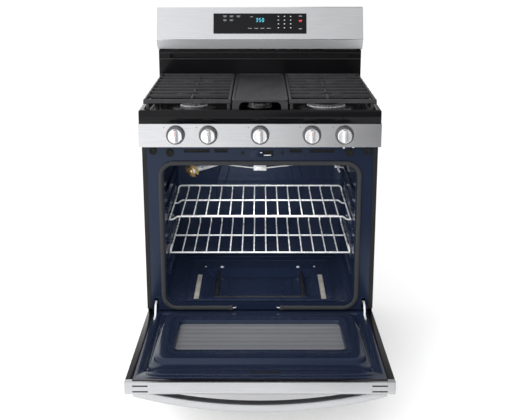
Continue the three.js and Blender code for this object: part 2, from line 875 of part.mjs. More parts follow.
// Rear plate and both end plates, inside the folded front.
function backguardRear() {
  const half = backguardHalf - touchGap
  const section = backguardSection(sheet + touchGap)
  const rear = backguardOutline.rear
  const { bevel } = backguardOutline
  const inner = section.map(([y, z]) => [Math.min(y, rear - 3), z])
  const plate = block(-half, half, rear - 3 - sheet, rear - 3, inner[0][1], inner[2][1])
  const ends = bothSides.map((side) => {
    const reach = [side * half, side * (half - sheet)].sort((a, b) => a - b)
    return prism('x', inner, ...reach)
  })
  return joined([plate, ...ends, wideBlock(half, rear - 24, rear - 3, bevel[1] + 4, bevel[1] + 6)])
}

function riserPanel() {
  const half = backguardHalf - riserInset
  const [low, high] = [cooktopTop + touchGap, backguardOutline.bevel[1] - touchGap]
  const rear = backguardOutline.rear
  const shell = wideBlock(half, riserFront, rear, low, high)
  const duct = wideBlock(half - sheet, riserFront + sheet, rear - sheet, low - 1, high + 1)
  const slotLow = cooktopTop + ventSlot.rise
  const slotHigh = slotLow + ventSlot.height
  const slotHalf = half - ventSlot.inset
  const slot = wideBlock(slotHalf, riserFront - 1, riserFront + sheet + 1, slotLow, slotHigh)
  return shell.subtract(duct).subtract(slot)
}

// The dark control glass lies on the leaning face.
function displayGlass() {
  const lowEdge = new THREE.Vector2(...onUpperFace(display.low))
  const highEdge = new THREE.Vector2(...onUpperFace(display.high))
  const shift = (point, out) => point.clone().addScaledVector(leanOut, out).toArray()
  const outer = touchGap + display.thickness
  const outline = [
    shift(lowEdge, touchGap),
    shift(highEdge, touchGap),
    shift(highEdge, outer),
    shift(lowEdge, outer),
  ]
  return prism('x', outline, -display.half, display.half)
}

// ---------------------------------------------------------------- door
// The door's own frame has its origin on the hinge line, Y through its thickness and Z up it
// when it is shut.

const skinFront = doorFront - pivotDepth
const skinBottom = doorBottom - pivotHeight
const skinTop = doorTop - pivotHeight
const rim = doorFlange - pivotDepth
const field = doorPlug - pivotDepth
const linerHalf = doorHalf - linerMargin.side
const fieldHalf = gasketInner - plugClearance
const fieldLow = gasketBottom + gasketWidth - pivotHeight + plugClearance
const fieldHigh = skinTop - plugDrop
const fieldRadius = gasketRadius - gasketWidth - plugClearance

// A window opening in the door's own frame, as it goes to roundedRect.
const opening = (half, window, grow) => [
  -half - grow,
  half + grow,
  window.low - grow,
  skinTop - window.drop + grow,
  window.radius + grow,
]
const outerHalf = doorHalf - outerWindow.inset
const innerHalf = fieldHalf - innerWindow.inset

function doorSkin() {
  const half = doorHalf
  const r = doorCornerRadius
  const outline = new THREE.Shape()
  outline.moveTo(skinFront, skinBottom)
  outline.lineTo(rim, skinBottom)
  outline.lineTo(rim, skinTop)
  outline.lineTo(skinFront + r, skinTop)
  outline.absarc(skinFront + r, skinTop - r, r, Math.PI / 2, Math.PI)
  outline.closePath()
  const hollow = wideBlock(
    half - sheet,
    skinFront + sheet,
    rim - sheet,
    skinBottom + sheet,
    skinTop - r,
  )
  const linerHole = wideBlock(
    linerHalf,
    rim - 2 * sheet,
    rim + 1,
    skinBottom + linerMargin.bottom,
    skinTop - linerMargin.top,
  )
  const windowOutline = roundedRect(...opening(outerHalf, outerWindow, 0))
  const window = prism('y', windowOutline, skinFront - 1, skinFront + sheet + 1, 4)
  let skin = prism('x', outline, -half, half).subtract(hollow).subtract(linerHole)
  skin = skin.subtract(window)
  for (const out of airSlot.depths) {
    const y = rim - out
    for (const side of bothSides) {
      const far = half - airSlot.outer
      const near = far - airSlot.length
      skin = skin.subtract(sideBlock(side, near, far, y - airSlot.width, y, skinTop - r, skinTop + 1))
    }
  }
  return skin
}

// A pressed panel: flat rim, sunken channel, raised field and a well for the inner window.
function doorLiner() {
  const fit = touchGap
  const back = rim - sheet
  const plate = wideBlock(
    linerHalf - fit,
    back,
    rim,
    skinBottom + linerMargin.bottom + fit,
    skinTop - linerMargin.top - fit,
  )
  const { low, depth } = linerChannel
  const high = skinTop - linerChannel.drop
  const channelHalf = linerHalf - linerChannel.inset
  const channelFloor = rim - depth - sheet
  const channel = wideBlock(channelHalf, back - 1, rim + 1, low, high)
  const tray = wideBlock(channelHalf + sheet, channelFloor, rim - 0.5, low - sheet, high + sheet)
  const trayHollow = wideBlock(channelHalf, channelFloor + sheet, rim + 1, low, high)
  const plug = (inset) =>
    roundedRect(
      inset - fieldHalf,
      fieldHalf - inset,
      fieldLow + inset,
      fieldHigh - inset,
      fieldRadius - inset,
    )
  const raised = prism('y', plug(0), channelFloor, field)
  const raisedHollow = prism('y', plug(sheet), channelFloor - 1, field - sheet)
  const well = (grow) => roundedRect(...opening(innerHalf, innerWindow, grow))
  const wall = prism('y', well(sheet), field - innerWindow.recess, field, 4)
  const window = prism('y', well(0), channelFloor - 2, field + 1, 4)
  const ridgeLow = high + sheet
  const ridgeHigh = ridgeLow + linerRidge.height
  const ridge = wideBlock(channelHalf, back, rim + linerRidge.proud, ridgeLow, ridgeHigh)
  return plate
    .subtract(channel)
    .add(tray.subtract(trayHollow))
    .add(raised)
    .subtract(raisedHollow)
    .add(ridge)
    .add(wall)
    .subtract(window)
}

// A pane that laps behind the edges of its opening.
function windowPane(half, window, lap, front) {
  return prism('y', roundedRect(...opening(half, window, lap)), front, front + glass, 4)
}

// A shallow bow: two concentric arcs, cut off flat where it meets the skin.
function doorHandle() {
  const seat = skinFront - touchGap
  const handleHalf = doorHalf - handleInset
  const sagitta = handleStandoff - handleEndStandoff
  const outerRadius = (handleHalf ** 2 + sagitta ** 2) / (2 * sagitta)
  const innerRadius = outerRadius - handleThickness
  const centre = skinFront - handleStandoff + outerRadius
  const innerDrop = centre - seat
  const seatHalf = Math.sqrt(innerRadius ** 2 - innerDrop ** 2)
  const outerTurn = Math.asin(handleHalf / outerRadius)
  const innerTurn = Math.asin(seatHalf / innerRadius)
  const down = -Math.PI / 2
  const outline = new THREE.Shape()
  outline.moveTo(-handleHalf, seat)
  outline.absarc(0, centre, outerRadius, down - outerTurn, down + outerTurn)
  outline.lineTo(handleHalf, seat)
  outline.absarc(0, centre, innerRadius, down + innerTurn, down - innerTurn, true)
  outline.closePath()
  const middle = skinTop - handleDrop
  return prism('z', outline, middle - handleTall / 2, middle + handleTall / 2, 14)
}

// A curved claw about the hinge line, so it slides through its slot in the face.
function hingeClaw(side) {
  const { width, radius, thickness, foot } = hingeArm
  const [near, far] = [armPlace - width / 2, armPlace + width / 2]
  const turn = THREE.MathUtils.degToRad
  const claw = new THREE.Shape()
  claw.absarc(0, 0, radius + thickness / 2, turn(-40), turn(84))
  claw.absarc(0, 0, radius - thickness / 2, turn(84), turn(-40), true)
  claw.closePath()
  const ends = [side * near, side * far].sort((a, b) => a - b)
  const seat = rim + touchGap
  const base = sideBlock(side, near, far, seat, seat + 4, radius - thickness, foot)
  return prism('x', claw, ...ends, 10).add(base)
}

// ---------------------------------------------------------------- drawer

// The front's top edge slopes back, clear of the door's lower edge.
function drawerFront() {
  const half = doorHalf
  const low = legHeight + drawerLift
  const high = pivotHeight - (pivotDepth - doorFront) - drawerRoom
  const { shoulder, rear: rearDrop } = drawerSlope
  const outline = [
    [drawerFrontPlane, low],
    [drawerFrontPlane + drawerDepth, low],
    [drawerFrontPlane + drawerDepth, high - rearDrop],
    [drawerFrontPlane + shoulder[0], high - shoulder[1]],
    [drawerFrontPlane, high],
  ]
  const hollow = wideBlock(
    half - sheet,
    drawerFrontPlane + sheet,
    drawerFrontPlane + drawerDepth + 1,
    low + sheet,
    high - rearDrop - sheet,
  )
  return prism('x', outline, -half, half).subtract(hollow)
}

function drawerBox() {
  const half = sideInner - drawerBoxInset
  const front = drawerFrontPlane + sheet + touchGap
  const rear = bodyRear - drawerBoxRearGap
  const low = legHeight + drawerLift + sheet + touchGap
  const outer = wideBlock(half, front, rear, low, drawerBoxTop)
  const inner = wideBlock(half - sheet, front + sheet, rear - sheet, low + sheet, drawerBoxTop + 1)
  return outer.subtract(inner)
}

// ---------------------------------------------------------------- assembly

for (const [name, side] of [
  ['left', -1],
  ['right', 1],
]) {
  part(`side_panel_${name}`, sidePanel(side), blackPaint)
  part(`grate_${name}`, grate(side), castIron)
  part(`hinge_arm_${name}`, hingeClaw(side), galvanised, door)
  const legPlace = side * (bodyHalf - leg.fromSide)
  part(`level_leg_front_${name}`, levelLeg(legPlace, leg.front), darkSteel)
  part(`level_leg_rear_${name}`, levelLeg(legPlace, bodyRear - leg.fromRear), darkSteel)
}
part('base_pan', basePan(), galvanised)
part('rear_cover', rearCover(), galvanised)
part('front_frame', frontFrame(), ovenEnamel)
part('oven_liner', ovenLiner(), ovenEnamel)
part('oven_floor', ovenFloor(), ovenEnamel)
part('bake_burner', bakeBurner(), darkSteel)
part('broil_burner', broilBurner(), galvanised)
part('broil_air_shutter', broilAirShutter(), zinc)
part('oven_lamp', ovenLamp(), clearGlass)
part('temperature_probe', temperatureProbe(), chromeWire)
part('door_gasket', doorGasket(), glassCloth)
part('insulation_blanket', insulationBlanket(), fibre)
part('rack_lower', ovenRack(rackPlanes[0]), chromeWire)
part('rack_upper', ovenRack(rackPlanes[1]), chromeWire)

part('cooktop', cooktop(), blackPaint)
for (const [name, x, y, radius] of roundBurners) {
  part(`burner_head_${name}`, burnerHead(x, y, radius), aluminium)
  part(`burner_cap_${name}`, burnerCap(x, y, radius), castIron)
}
part('burner_head_centre', ovalHead(), aluminium)
part('burner_cap_centre', ovalCap(), castIron)
part('griddle', griddle(), castIron)

part('control_panel', controlPanel(), steel)
part('gas_manifold', gasManifold(), galvanised)
knobPlaces.forEach((x, i) => {
  part(`valve_stem_${i + 1}`, valveStem(x), galvanised)
  part(`knob_${i + 1}`, knob(x), darkSteel)
})

part('backguard_panel', backguardPanel(), steel)
part('backguard_rear', backguardRear(), blackPaint)
part('riser_panel', riserPanel(), blackPaint)
part('display_glass', displayGlass(), blackGlass)

part('door_skin', doorSkin(), steel, door)
part('door_liner', doorLiner(), ovenEnamel, door)
part(
  'door_outer_glass',
  windowPane(outerHalf, outerWindow, paneLap.outer, skinFront + sheet + touchGap),
  blackGlass,
  door,
)
part(
  'door_inner_glass',
  windowPane(innerHalf, innerWindow, paneLap.inner, field - innerWindow.recess - touchGap - glass),
  clearGlass,
  door,
)
part('door_handle', doorHandle(), steel, door)
part('drawer_front', drawerFront(), steel)
part('drawer_box', drawerBox(), galvanised)

const box = new THREE.Box3().setFromObject(range, true)
const middle = box.getCenter(new THREE.Vector3())
range.position.set(-middle.x, -middle.y, -box.min.z)

export default range
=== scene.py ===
"""The looks of a freestanding gas range with its oven door open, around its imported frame.

Metres, in the row frame: X to the right, Y to the back, Z up from the floor.
"""
import json
import math

import bmesh
import bpy
from mathutils import Matrix, Vector


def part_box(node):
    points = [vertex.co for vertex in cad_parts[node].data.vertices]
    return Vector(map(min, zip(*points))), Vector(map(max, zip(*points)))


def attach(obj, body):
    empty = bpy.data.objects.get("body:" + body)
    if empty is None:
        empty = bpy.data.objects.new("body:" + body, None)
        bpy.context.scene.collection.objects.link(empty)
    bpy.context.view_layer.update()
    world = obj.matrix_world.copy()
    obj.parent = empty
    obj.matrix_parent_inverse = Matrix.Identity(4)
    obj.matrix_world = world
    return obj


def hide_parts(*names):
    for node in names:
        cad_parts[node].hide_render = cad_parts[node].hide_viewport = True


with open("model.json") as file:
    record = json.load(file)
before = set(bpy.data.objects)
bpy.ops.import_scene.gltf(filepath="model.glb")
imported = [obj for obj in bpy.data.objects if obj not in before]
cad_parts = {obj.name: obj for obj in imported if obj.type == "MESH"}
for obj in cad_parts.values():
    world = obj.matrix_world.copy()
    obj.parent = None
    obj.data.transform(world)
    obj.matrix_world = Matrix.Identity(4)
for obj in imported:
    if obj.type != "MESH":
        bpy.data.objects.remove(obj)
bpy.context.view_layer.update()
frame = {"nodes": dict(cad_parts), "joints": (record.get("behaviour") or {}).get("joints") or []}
scene = bpy.context.scene

# ------------------------------------------------------------------ places from the frame

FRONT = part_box("control_panel")[0].y  # front of the control panel
DOOR_JOINT = next(j for j in frame["joints"] if j["name"] == "door_hinge")
OPEN_ANGLE = math.radians(-DOOR_JOINT["range_deg"][0])
DOOR_PLACE = Matrix.Translation(DOOR_JOINT["pos_m"]) @ Matrix.Rotation(OPEN_ANGLE, 4, "X")
SHEET = 0.0012
SIDES = ((-1, "left"), (1, "right"))


def door_box(node):
    """A door node's lowest and highest corner in the shut door's own frame."""
    back = DOOR_PLACE.inverted()
    points = [back @ v.co for v in frame["nodes"][node].data.vertices]
    low = Vector([min(p[k] for p in points) for k in range(3)])
    high = Vector([max(p[k] for p in points) for k in range(3)])
    return low, high


# ------------------------------------------------------------------ mesh making


def outline(u0, u1, v0, v1, radius, steps=5):
    """A rounded rectangle's points, anticlockwise from its lower left corner."""
    points = []
    corners = ((u1, v0, -90), (u1, v1, 0), (u0, v1, 90), (u0, v0, 180))
    for u, v, start in corners:
        cu = u - radius if u == u1 else u + radius
        cv = v - radius if v == v1 else v + radius
        for k in range(steps + 1):
            a = math.radians(start + 90 * k / steps)
            points.append((cu + radius * math.cos(a), cv + radius * math.sin(a)))
    return points


def bent(points, radius, closed=False, steps=5):
    """A path whose corners are rounded off."""
    path = [Vector(p) for p in points]
    count = len(path)
    made = []
    for i, corner in enumerate(path):
        if not closed and i in (0, count - 1):
            made.append(corner)
            continue
        before, after = path[i - 1], path[(i + 1) % count]
        reach = min(radius, (before - corner).length * 0.49, (after - corner).length * 0.49)
        start = corner + (before - corner).normalized() * reach
        end = corner + (after - corner).normalized() * reach
        for k in range(steps + 1):
            t = k / steps
            made.append(start * (1 - t) ** 2 + corner * 2 * t * (1 - t) + end * t * t)
    return made


class Mould:
    """The points and faces of one piece, with the number of each face's material."""

    def __init__(self):
        self.points = []
        self.faces = []
        self.marks = []

    def add(self, points, faces, mark=0):
        first = len(self.points)
        self.points += [Vector(p) for p in points]
        self.faces += [[first + i for i in face] for face in faces]
        self.marks += [mark] * len(faces)

    def loft(self, rings, around=True, caps=(True, True), mark=0):
        """A skin over rings of equally many points."""
        count = len(rings[0])
        last = count if around else count - 1
        faces = []
        for i in range(len(rings) - 1):
            for j in range(last):
                k = (j + 1) % count
                faces.append([i * count + j, i * count + k, (i + 1) * count + k, (i + 1) * count + j])
        if caps[0]:
            faces.append(list(range(count))[::-1])
        if caps[1]:
            faces.append([(len(rings) - 1) * count + j for j in range(count)])
        self.add([p for ring in rings for p in ring], faces, mark)

    def tube(self, path, radius, sides=10, closed=False, up=None, mark=0):
        """A round tube along a path; with up, an oval one whose second radius lies along up."""
        path = [Vector(p) for p in path]
        wide, tall = radius if isinstance(radius, tuple) else (radius, radius)
        rings = []
        across = None
        for i, point in enumerate(path):
            before = path[i - 1] if i or closed else point
            after = path[(i + 1) % len(path)] if i + 1 < len(path) or closed else point
            along = (after - before).normalized()
            if up is not None:
                across = along.cross(Vector(up)).normalized()
            elif across is None:
                across = along.orthogonal().normalized()
            else:
                across = (across - along * across.dot(along)).normalized()
            other = Vector(up) if up is not None else along.cross(across)
            turns = [2 * math.pi * k / sides for k in range(sides)]
            ring = [point + across * wide * math.cos(a) + other * tall * math.sin(a) for a in turns]
            rings.append(ring)
        if closed:
            rings.append(rings[0])
        self.loft(rings, caps=(not closed, not closed), mark=mark)

    def lathe(self, profile, centre, axis="z", steps=32, ripple=None, mark=0):
        """A turned piece from (radius, height) pairs. axis is z, or y for a piece facing front."""
        rings = []
        for level, (radius, height) in enumerate(profile):
            ring = []
            for k in range(steps):
                a = 2 * math.pi * k / steps
                r = radius * (ripple(level, k) if ripple else 1)
                if axis == "z":
                    offset = Vector((r * math.cos(a), r * math.sin(a), height))
                else:
                    offset = Vector((r * math.cos(a), -height, r * math.sin(a)))
                ring.append(Vector(centre) + offset)
            rings.append(ring)
        self.loft(rings, mark=mark)

    def lathe_along(self, start, along, profile, steps=20, mark=0):
        """A turned piece about any line."""
        across = along.orthogonal().normalized()
        other = along.cross(across)
        rings = []
        for radius, height in profile:
            turns = [2 * math.pi * k / steps for k in range(steps)]
            spokes = [across * math.cos(a) + other * math.sin(a) for a in turns]
            rings.append([start + along * height + spoke * radius for spoke in spokes])
        self.loft(rings, mark=mark)

    def slab(self, low, high, radius=0.001, axis=2, mark=0, steps=3):
        """A block with all its edges rounded."""
        u, v = [k for k in range(3) if k != axis]
        rings = []
        shape = ((0, 1), (0.3, 0.3), (1, 0))
        levels = [(low[axis] + a * radius, b * radius) for a, b in shape]
        levels += [(high[axis] - a * radius, b * radius) for a, b in reversed(shape)]
        for level, inset in levels:
            corner = radius * 1.01 - inset * 0.9
            flat = outline(low[u] + inset, high[u] - inset, low[v] + inset, high[v] - inset, corner, steps)
            ring = []
            for a, b in flat:
                point = [0, 0, 0]
                point[u], point[v], point[axis] = a, b, level
                ring.append(Vector(point))
            rings.append(ring)
        self.loft(rings, mark=mark)

    def make(self, name, body, slot, *materials, replaces=(), place=None, sharp=32, wall=0):
        """Makes the piece, riding on its body. With wall it is a shell of that thickness."""
        mesh = bpy.data.meshes.new(name)
        points = [place @ p for p in self.points] if place else self.points
        mesh.from_pydata([tuple(p) for p in points], [], self.faces)
        for material in materials:
            mesh.materials.append(material)
        for face, mark in zip(mesh.polygons, self.marks):
            face.material_index = mark
        work = bmesh.new()
        work.from_mesh(mesh)
        bmesh.ops.remove_doubles(work, verts=work.verts, dist=1e-6)
        if not wall:
            bmesh.ops.recalc_face_normals(work, faces=work.faces)
        work.to_mesh(mesh)
        work.free()
        mesh.shade_smooth()
        mesh.set_sharp_from_angle(angle=math.radians(sharp))
        piece = bpy.data.objects.new(name, mesh)
        scene.collection.objects.link(piece)
        if wall:
            shell = piece.modifiers.new("wall", "SOLIDIFY")
            shell.thickness = wall
            shell.offset = -1
        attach(piece, body)
        if replaces:
            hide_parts(*replaces)
        return piece


# ------------------------------------------------------------------ material making


class Finish:
    """A Principled material whose colour, roughness and surface vary over the piece."""

    def __init__(self, name, colour, roughness, metallic=0.0, **sockets):
        self.material = bpy.data.materials.new(name)
        self.material.use_nodes = True
        self.tree = self.material.node_tree
        self.shader = self.tree.nodes["Principled BSDF"]
        self.shader.inputs["Base Color"].default_value = (*colour, 1)
        self.shader.inputs["Roughness"].default_value = roughness
        self.shader.inputs["Metallic"].default_value = metallic
        for socket, value in sockets.items():
            self.shader.inputs[socket.replace("_", " ")].default_value = value

    def node(self, kind, **values):
        made = self.tree.nodes.new(kind)
        for key, value in values.items():
            if key in made.inputs:
                made.inputs[key].default_value = value
            else:
                setattr(made, key, value)
        return made

    def place(self, stretch=(1, 1, 1)):
        """Where a point is on its own object, stretched."""
        coordinates = self.node("ShaderNodeTexCoord")
        mapping = self.node("ShaderNodeMapping", Scale=stretch)
        self.tree.links.new(coordinates.outputs["Object"], mapping.inputs["Vector"])
        return mapping.outputs["Vector"]

    def noise(self, scale, detail=3.0, stretch=(1, 1, 1)):
        texture = self.node("ShaderNodeTexNoise", Scale=scale, Detail=detail)
        self.tree.links.new(self.place(stretch), texture.inputs["Vector"])
        return texture.outputs["Fac"]

    def cells(self, scale, stretch=(1, 1, 1), output="Color"):
        texture = self.node("ShaderNodeTexVoronoi", Scale=scale)
        self.tree.links.new(self.place(stretch), texture.inputs["Vector"])
        return texture.outputs[output]

    def waves(self, scale, direction="X", distortion=0.0, stretch=(1, 1, 1)):
        texture = self.node("ShaderNodeTexWave", Scale=scale, Distortion=distortion)
        texture.bands_direction = direction
        self.tree.links.new(self.place(stretch), texture.inputs["Vector"])
        return texture.outputs["Fac"]

    def span(self, source, low, high, start=0.3, end=0.7):
        """source from start to end, mapped to low to high."""
        ranged = self.node("ShaderNodeMapRange")
        for key, value in zip(("From Min", "From Max", "To Min", "To Max"), (start, end, low, high)):
            ranged.inputs[key].default_value = value
        self.tree.links.new(source, ranged.inputs["Value"])
        return ranged.outputs["Result"]

    def colours(self, source, dark, light, start=0.3, end=0.7):
        ramp = self.node("ShaderNodeValToRGB")
        ramp.color_ramp.elements[0].position = start
        ramp.color_ramp.elements[0].color = (*dark, 1)
        ramp.color_ramp.elements[1].position = end
        ramp.color_ramp.elements[1].color = (*light, 1)
        self.tree.links.new(source, ramp.inputs["Fac"])
        self.tree.links.new(ramp.outputs["Color"], self.shader.inputs["Base Color"])
        return self

    def gloss(self, source, low, high):
        self.tree.links.new(self.span(source, low, high), self.shader.inputs["Roughness"])
        return self

    def relief(self, source, strength, distance=0.0005):
        bump = self.node("ShaderNodeBump", Strength=strength, Distance=distance)
        self.tree.links.new(source, bump.inputs["Height"])
        before = self.shader.inputs["Normal"]
        if before.is_linked:
            self.tree.links.new(before.links[0].from_socket, bump.inputs["Normal"])
        self.tree.links.new(bump.outputs["Normal"], before)
        return self


def stainless():
    made = Finish("stainless", (0.62, 0.625, 0.635), 0.3, 1.0)
    grain = made.noise(1.0, 4.0, (14, 900, 900))
    made.colours(grain, (0.66, 0.665, 0.675), (0.73, 0.735, 0.745))
    made.gloss(made.noise(7.0, 2.0), 0.2, 0.26)
    return made.relief(grain, 0.04, 0.00008).material


def door_steel_painted_shade():
    """The door's brushed skin: a darker copy of the stainless, painted shade that makes it a little darker
    than the control panel.
    """
    made = Finish("door_steel_painted_shade", (0.46, 0.465, 0.475), 0.24, 1.0)
    grain = made.noise(1.0, 4.0, (14, 900, 900))
    made.colours(grain, (0.42, 0.425, 0.435), (0.48, 0.485, 0.495))
    made.gloss(made.noise(7.0, 2.0), 0.22, 0.28)
    return made.relief(grain, 0.04, 0.00008).material


def deflector_steel():
    """The heat-tinted strips under the oven floor's slots."""
    made = Finish("deflector_steel", (0.3, 0.285, 0.25), 0.45, 0.2)
    made.colours(made.noise(40.0, 3.0), (0.24, 0.225, 0.2), (0.38, 0.36, 0.33))
    return made.gloss(made.noise(80.0), 0.38, 0.55).material


def shaded_steel():
    """The brushed bevel under the control glass: a duller, darker copy of the stainless, painted shade so the
    bevel looks grey.
    """
    made = Finish("shaded_steel", (0.55, 0.555, 0.57), 0.45, 0.25)
    grain = made.noise(1.0, 4.0, (14, 900, 900))
    made.colours(grain, (0.52, 0.525, 0.54), (0.6, 0.605, 0.62))
    return made.gloss(made.noise(7.0, 2.0), 0.4, 0.5).material


# Painted shade: a dark copy of the steel for the handle's side that faces the door, which is the same steel.
def handle_inside_painted_shade():
    made = Finish("handle_inside_painted_shade", (0.05, 0.05, 0.055), 0.4, 0.6)
    made.gloss(made.noise(60.0), 0.35, 0.48)
    return made.relief(made.noise(900.0), 0.08, 0.0001).material


def black_enamel():
    made = Finish("black_enamel", (0.004, 0.004, 0.0045), 0.16, Specular_IOR_Level=0.15)
    made.colours(made.noise(3.0, 3.0), (0.0028, 0.0028, 0.0032), (0.0052, 0.0052, 0.006))
    made.gloss(made.noise(5.0, 4.0), 0.12, 0.2)
    return made.relief(made.noise(240.0, 2.0), 0.05, 0.0004).material


def black_paint():
    made = Finish("black_paint", (0.008, 0.008, 0.009), 0.42, Specular_IOR_Level=0.3)
    made.colours(made.noise(9.0, 3.0), (0.006, 0.006, 0.0065), (0.010, 0.010, 0.011))
    made.gloss(made.noise(30.0), 0.36, 0.48)
    return made.relief(made.noise(1400.0, 2.0), 0.25, 0.0003).material


def oven_enamel():
    made = Finish(
        "oven_enamel", (0.008, 0.0125, 0.028), 0.15, Specular_IOR_Level=0.36,
        Specular_Tint=(0.72, 0.84, 1.0, 1),
    )
    speckle = made.noise(1900.0, 1.0)
    made.colours(speckle, (0.0065, 0.0102, 0.023), (0.0105, 0.0165, 0.036), 0.45, 0.75)
    made.gloss(made.noise(6.0, 4.0), 0.12, 0.2)
    made.relief(made.noise(170.0, 2.0), 0.04, 0.0005)
    return made.relief(speckle, 0.04, 0.0002).material


def cast_iron():
    made = Finish("cast_iron", (0.013, 0.013, 0.014), 0.5, Specular_IOR_Level=0.35)
    made.colours(made.noise(40.0, 4.0), (0.014, 0.014, 0.015), (0.024, 0.024, 0.026))
    made.gloss(made.noise(80.0), 0.42, 0.58)
    made.relief(made.noise(1100.0, 3.0), 0.3, 0.0004)
    return made.relief(made.noise(140.0, 2.0), 0.08, 0.0008).material


def griddle_iron():
    made = Finish("griddle_iron", (0.02, 0.02, 0.022), 0.38, Specular_IOR_Level=0.35)
    made.colours(made.noise(12.0, 4.0), (0.016, 0.016, 0.018), (0.023, 0.023, 0.026))
    made.gloss(made.noise(50.0), 0.33, 0.44)
    return made.relief(made.noise(1300.0, 2.0), 0.15, 0.0003).material


def burner_aluminium():
    made = Finish("burner_aluminium", (0.72, 0.72, 0.73), 0.32, 1.0)
    made.colours(made.noise(60.0, 3.0), (0.62, 0.62, 0.63), (0.8, 0.8, 0.81))
    made.gloss(made.noise(120.0), 0.25, 0.4)
    return made.relief(made.noise(1500.0, 2.0), 0.12, 0.0002).material


def rack_chrome():
    made = Finish("rack_chrome", (0.8, 0.8, 0.82), 0.3, 0.45)
    made.colours(made.noise(18.0, 3.0), (0.7, 0.705, 0.72), (0.84, 0.845, 0.86))
    made.gloss(made.noise(25.0), 0.24, 0.34)
    return made.relief(made.noise(900.0), 0.03, 0.0001).material


def zinc_plate():
    made = Finish("zinc_plate", (0.72, 0.5, 0.18), 0.32, 1.0)
    made.colours(made.noise(60.0, 3.0), (0.6, 0.38, 0.12), (0.82, 0.62, 0.28))
    made.gloss(made.noise(90.0), 0.24, 0.4)
    return made.relief(made.noise(1200.0), 0.06, 0.0001).material


def galvanised():
    made = Finish("galvanised", (0.5, 0.51, 0.52), 0.42, 1.0)
    spangle = made.cells(120.0)
    made.colours(spangle, (0.43, 0.44, 0.45), (0.56, 0.57, 0.58), 0.2, 0.8)
    made.gloss(spangle, 0.36, 0.5)
    return made.relief(made.noise(500.0), 0.05, 0.0002).material


def burner_steel():
    made = Finish("burner_steel", (0.28, 0.26, 0.25), 0.45, 1.0)
    made.colours(made.noise(16.0, 4.0), (0.2, 0.17, 0.16), (0.36, 0.34, 0.33))
    return made.relief(made.noise(900.0), 0.1, 0.0002).material


def gasket_cloth():
    made = Finish("gasket_cloth", (0.03, 0.03, 0.032), 0.85)
    braid = made.waves(260.0, "DIAGONAL", 1.5)
    made.colours(braid, (0.013, 0.013, 0.015), (0.045, 0.046, 0.05), 0.2, 0.8)
    made.relief(made.waves(300.0, "X", 2.0), 0.4, 0.0008)
    return made.relief(braid, 0.5, 0.0008).material


def fibre_jacket():
    made = Finish("fibre_jacket", (0.62, 0.58, 0.47), 0.95)
    made.colours(made.noise(30.0, 5.0), (0.5, 0.46, 0.36), (0.72, 0.68, 0.58))
    return made.relief(made.noise(300.0, 5.0), 0.6, 0.002).material


def display_glass():
    made = Finish("display_glass", (0.003, 0.003, 0.0035), 0.09, Specular_IOR_Level=0.22)
    made.gloss(made.noise(6.0, 4.0), 0.05, 0.1)
    return made.colours(made.noise(2.0), (0.0025, 0.0025, 0.003), (0.004, 0.004, 0.005)).material


def window_glass():
    made = Finish("window_glass", (0.085, 0.088, 0.094), 0.2, 0.25, Coat_Weight=0.4)
    bands = made.waves(9.0, "Y", 0.4)
    made.colours(bands, (0.15, 0.152, 0.162), (0.185, 0.188, 0.2), 0.1, 0.9)
    made.gloss(bands, 0.18, 0.26)
    return made.relief(made.noise(1400.0), 0.05, 0.0001).material


def outer_window_glass():
    made = Finish("outer_window_glass", (0.004, 0.004, 0.005), 0.06, Coat_Weight=0.4)
    made.gloss(made.noise(4.0, 4.0), 0.04, 0.09)
    return made.colours(made.noise(3.0), (0.003, 0.003, 0.004), (0.006, 0.006, 0.007)).material


def lamp_glass():
    made = Finish("lamp_glass", (0.86, 0.87, 0.88), 0.1, Transmission_Weight=0.7)
    return made.relief(made.waves(160.0, "X"), 0.3, 0.0006).gloss(made.noise(80.0), 0.06, 0.16).material


def knob_metal():
    made = Finish("knob_metal", (0.8, 0.8, 0.81), 0.24, 0.75)
    grain = made.noise(1.0, 3.0, (900, 40, 40))
    made.colours(grain, (0.76, 0.76, 0.77), (0.85, 0.85, 0.86))
    made.gloss(made.noise(40.0), 0.2, 0.28)
    return made.relief(grain, 0.03, 0.0001).material


def knob_ring():
    made = Finish("knob_ring", (0.16, 0.16, 0.17), 0.3, 0.9)
    made.gloss(made.noise(50.0), 0.25, 0.36)
    return made.colours(made.noise(30.0), (0.13, 0.13, 0.14), (0.19, 0.19, 0.2)).material


def rubber():
    made = Finish("black_rubber", (0.006, 0.006, 0.006), 0.6, Specular_IOR_Level=0.25)
    made.gloss(made.noise(120.0), 0.5, 0.7)
    return made.relief(made.noise(900.0), 0.12, 0.0003).material


def print_ink(name, colour, glow=0.0):
    made = Finish(name, colour, 0.5, Emission_Color=(*colour, 1), Emission_Strength=glow)
    return made.gloss(made.noise(200.0), 0.45, 0.6).material


def ceramic():
    made = Finish("ceramic", (0.75, 0.73, 0.68), 0.35)
    return made.gloss(made.noise(90.0), 0.3, 0.42).material


STEEL = stainless()
SHADED_STEEL = shaded_steel()
DOOR_STEEL_PAINTED_SHADE = door_steel_painted_shade()
DEFLECTOR = deflector_steel()
BAR_PAINTED_SHADE = handle_inside_painted_shade()
ENAMEL = black_enamel()
PAINT = black_paint()
NAVY = oven_enamel()
IRON = cast_iron()
PLATE_IRON = griddle_iron()
ALUMINIUM = burner_aluminium()
CHROME = rack_chrome()
ZINC = zinc_plate()
GALVANISED = galvanised()
TUBE_STEEL = burner_steel()
CLOTH = gasket_cloth()
FIBRE = fibre_jacket()
SCREEN = display_glass()
WINDOW = window_glass()
DARK_GLASS = outer_window_glass()
LAMP = lamp_glass()
KNOB = knob_metal()
RING = knob_ring()
RUBBER = rubber()
CERAMIC = ceramic()
CYAN = print_ink("digit_light", (0.08, 0.5, 0.62), 1.1)
WHITE = print_ink("key_light", (0.55, 0.57, 0.6), 0.25)
DIM = print_ink("label_light", (0.26, 0.27, 0.28), 0.12)
RED = print_ink("red_light", (0.7, 0.06, 0.05), 0.4)

# ------------------------------------------------------------------ carried-over nodes


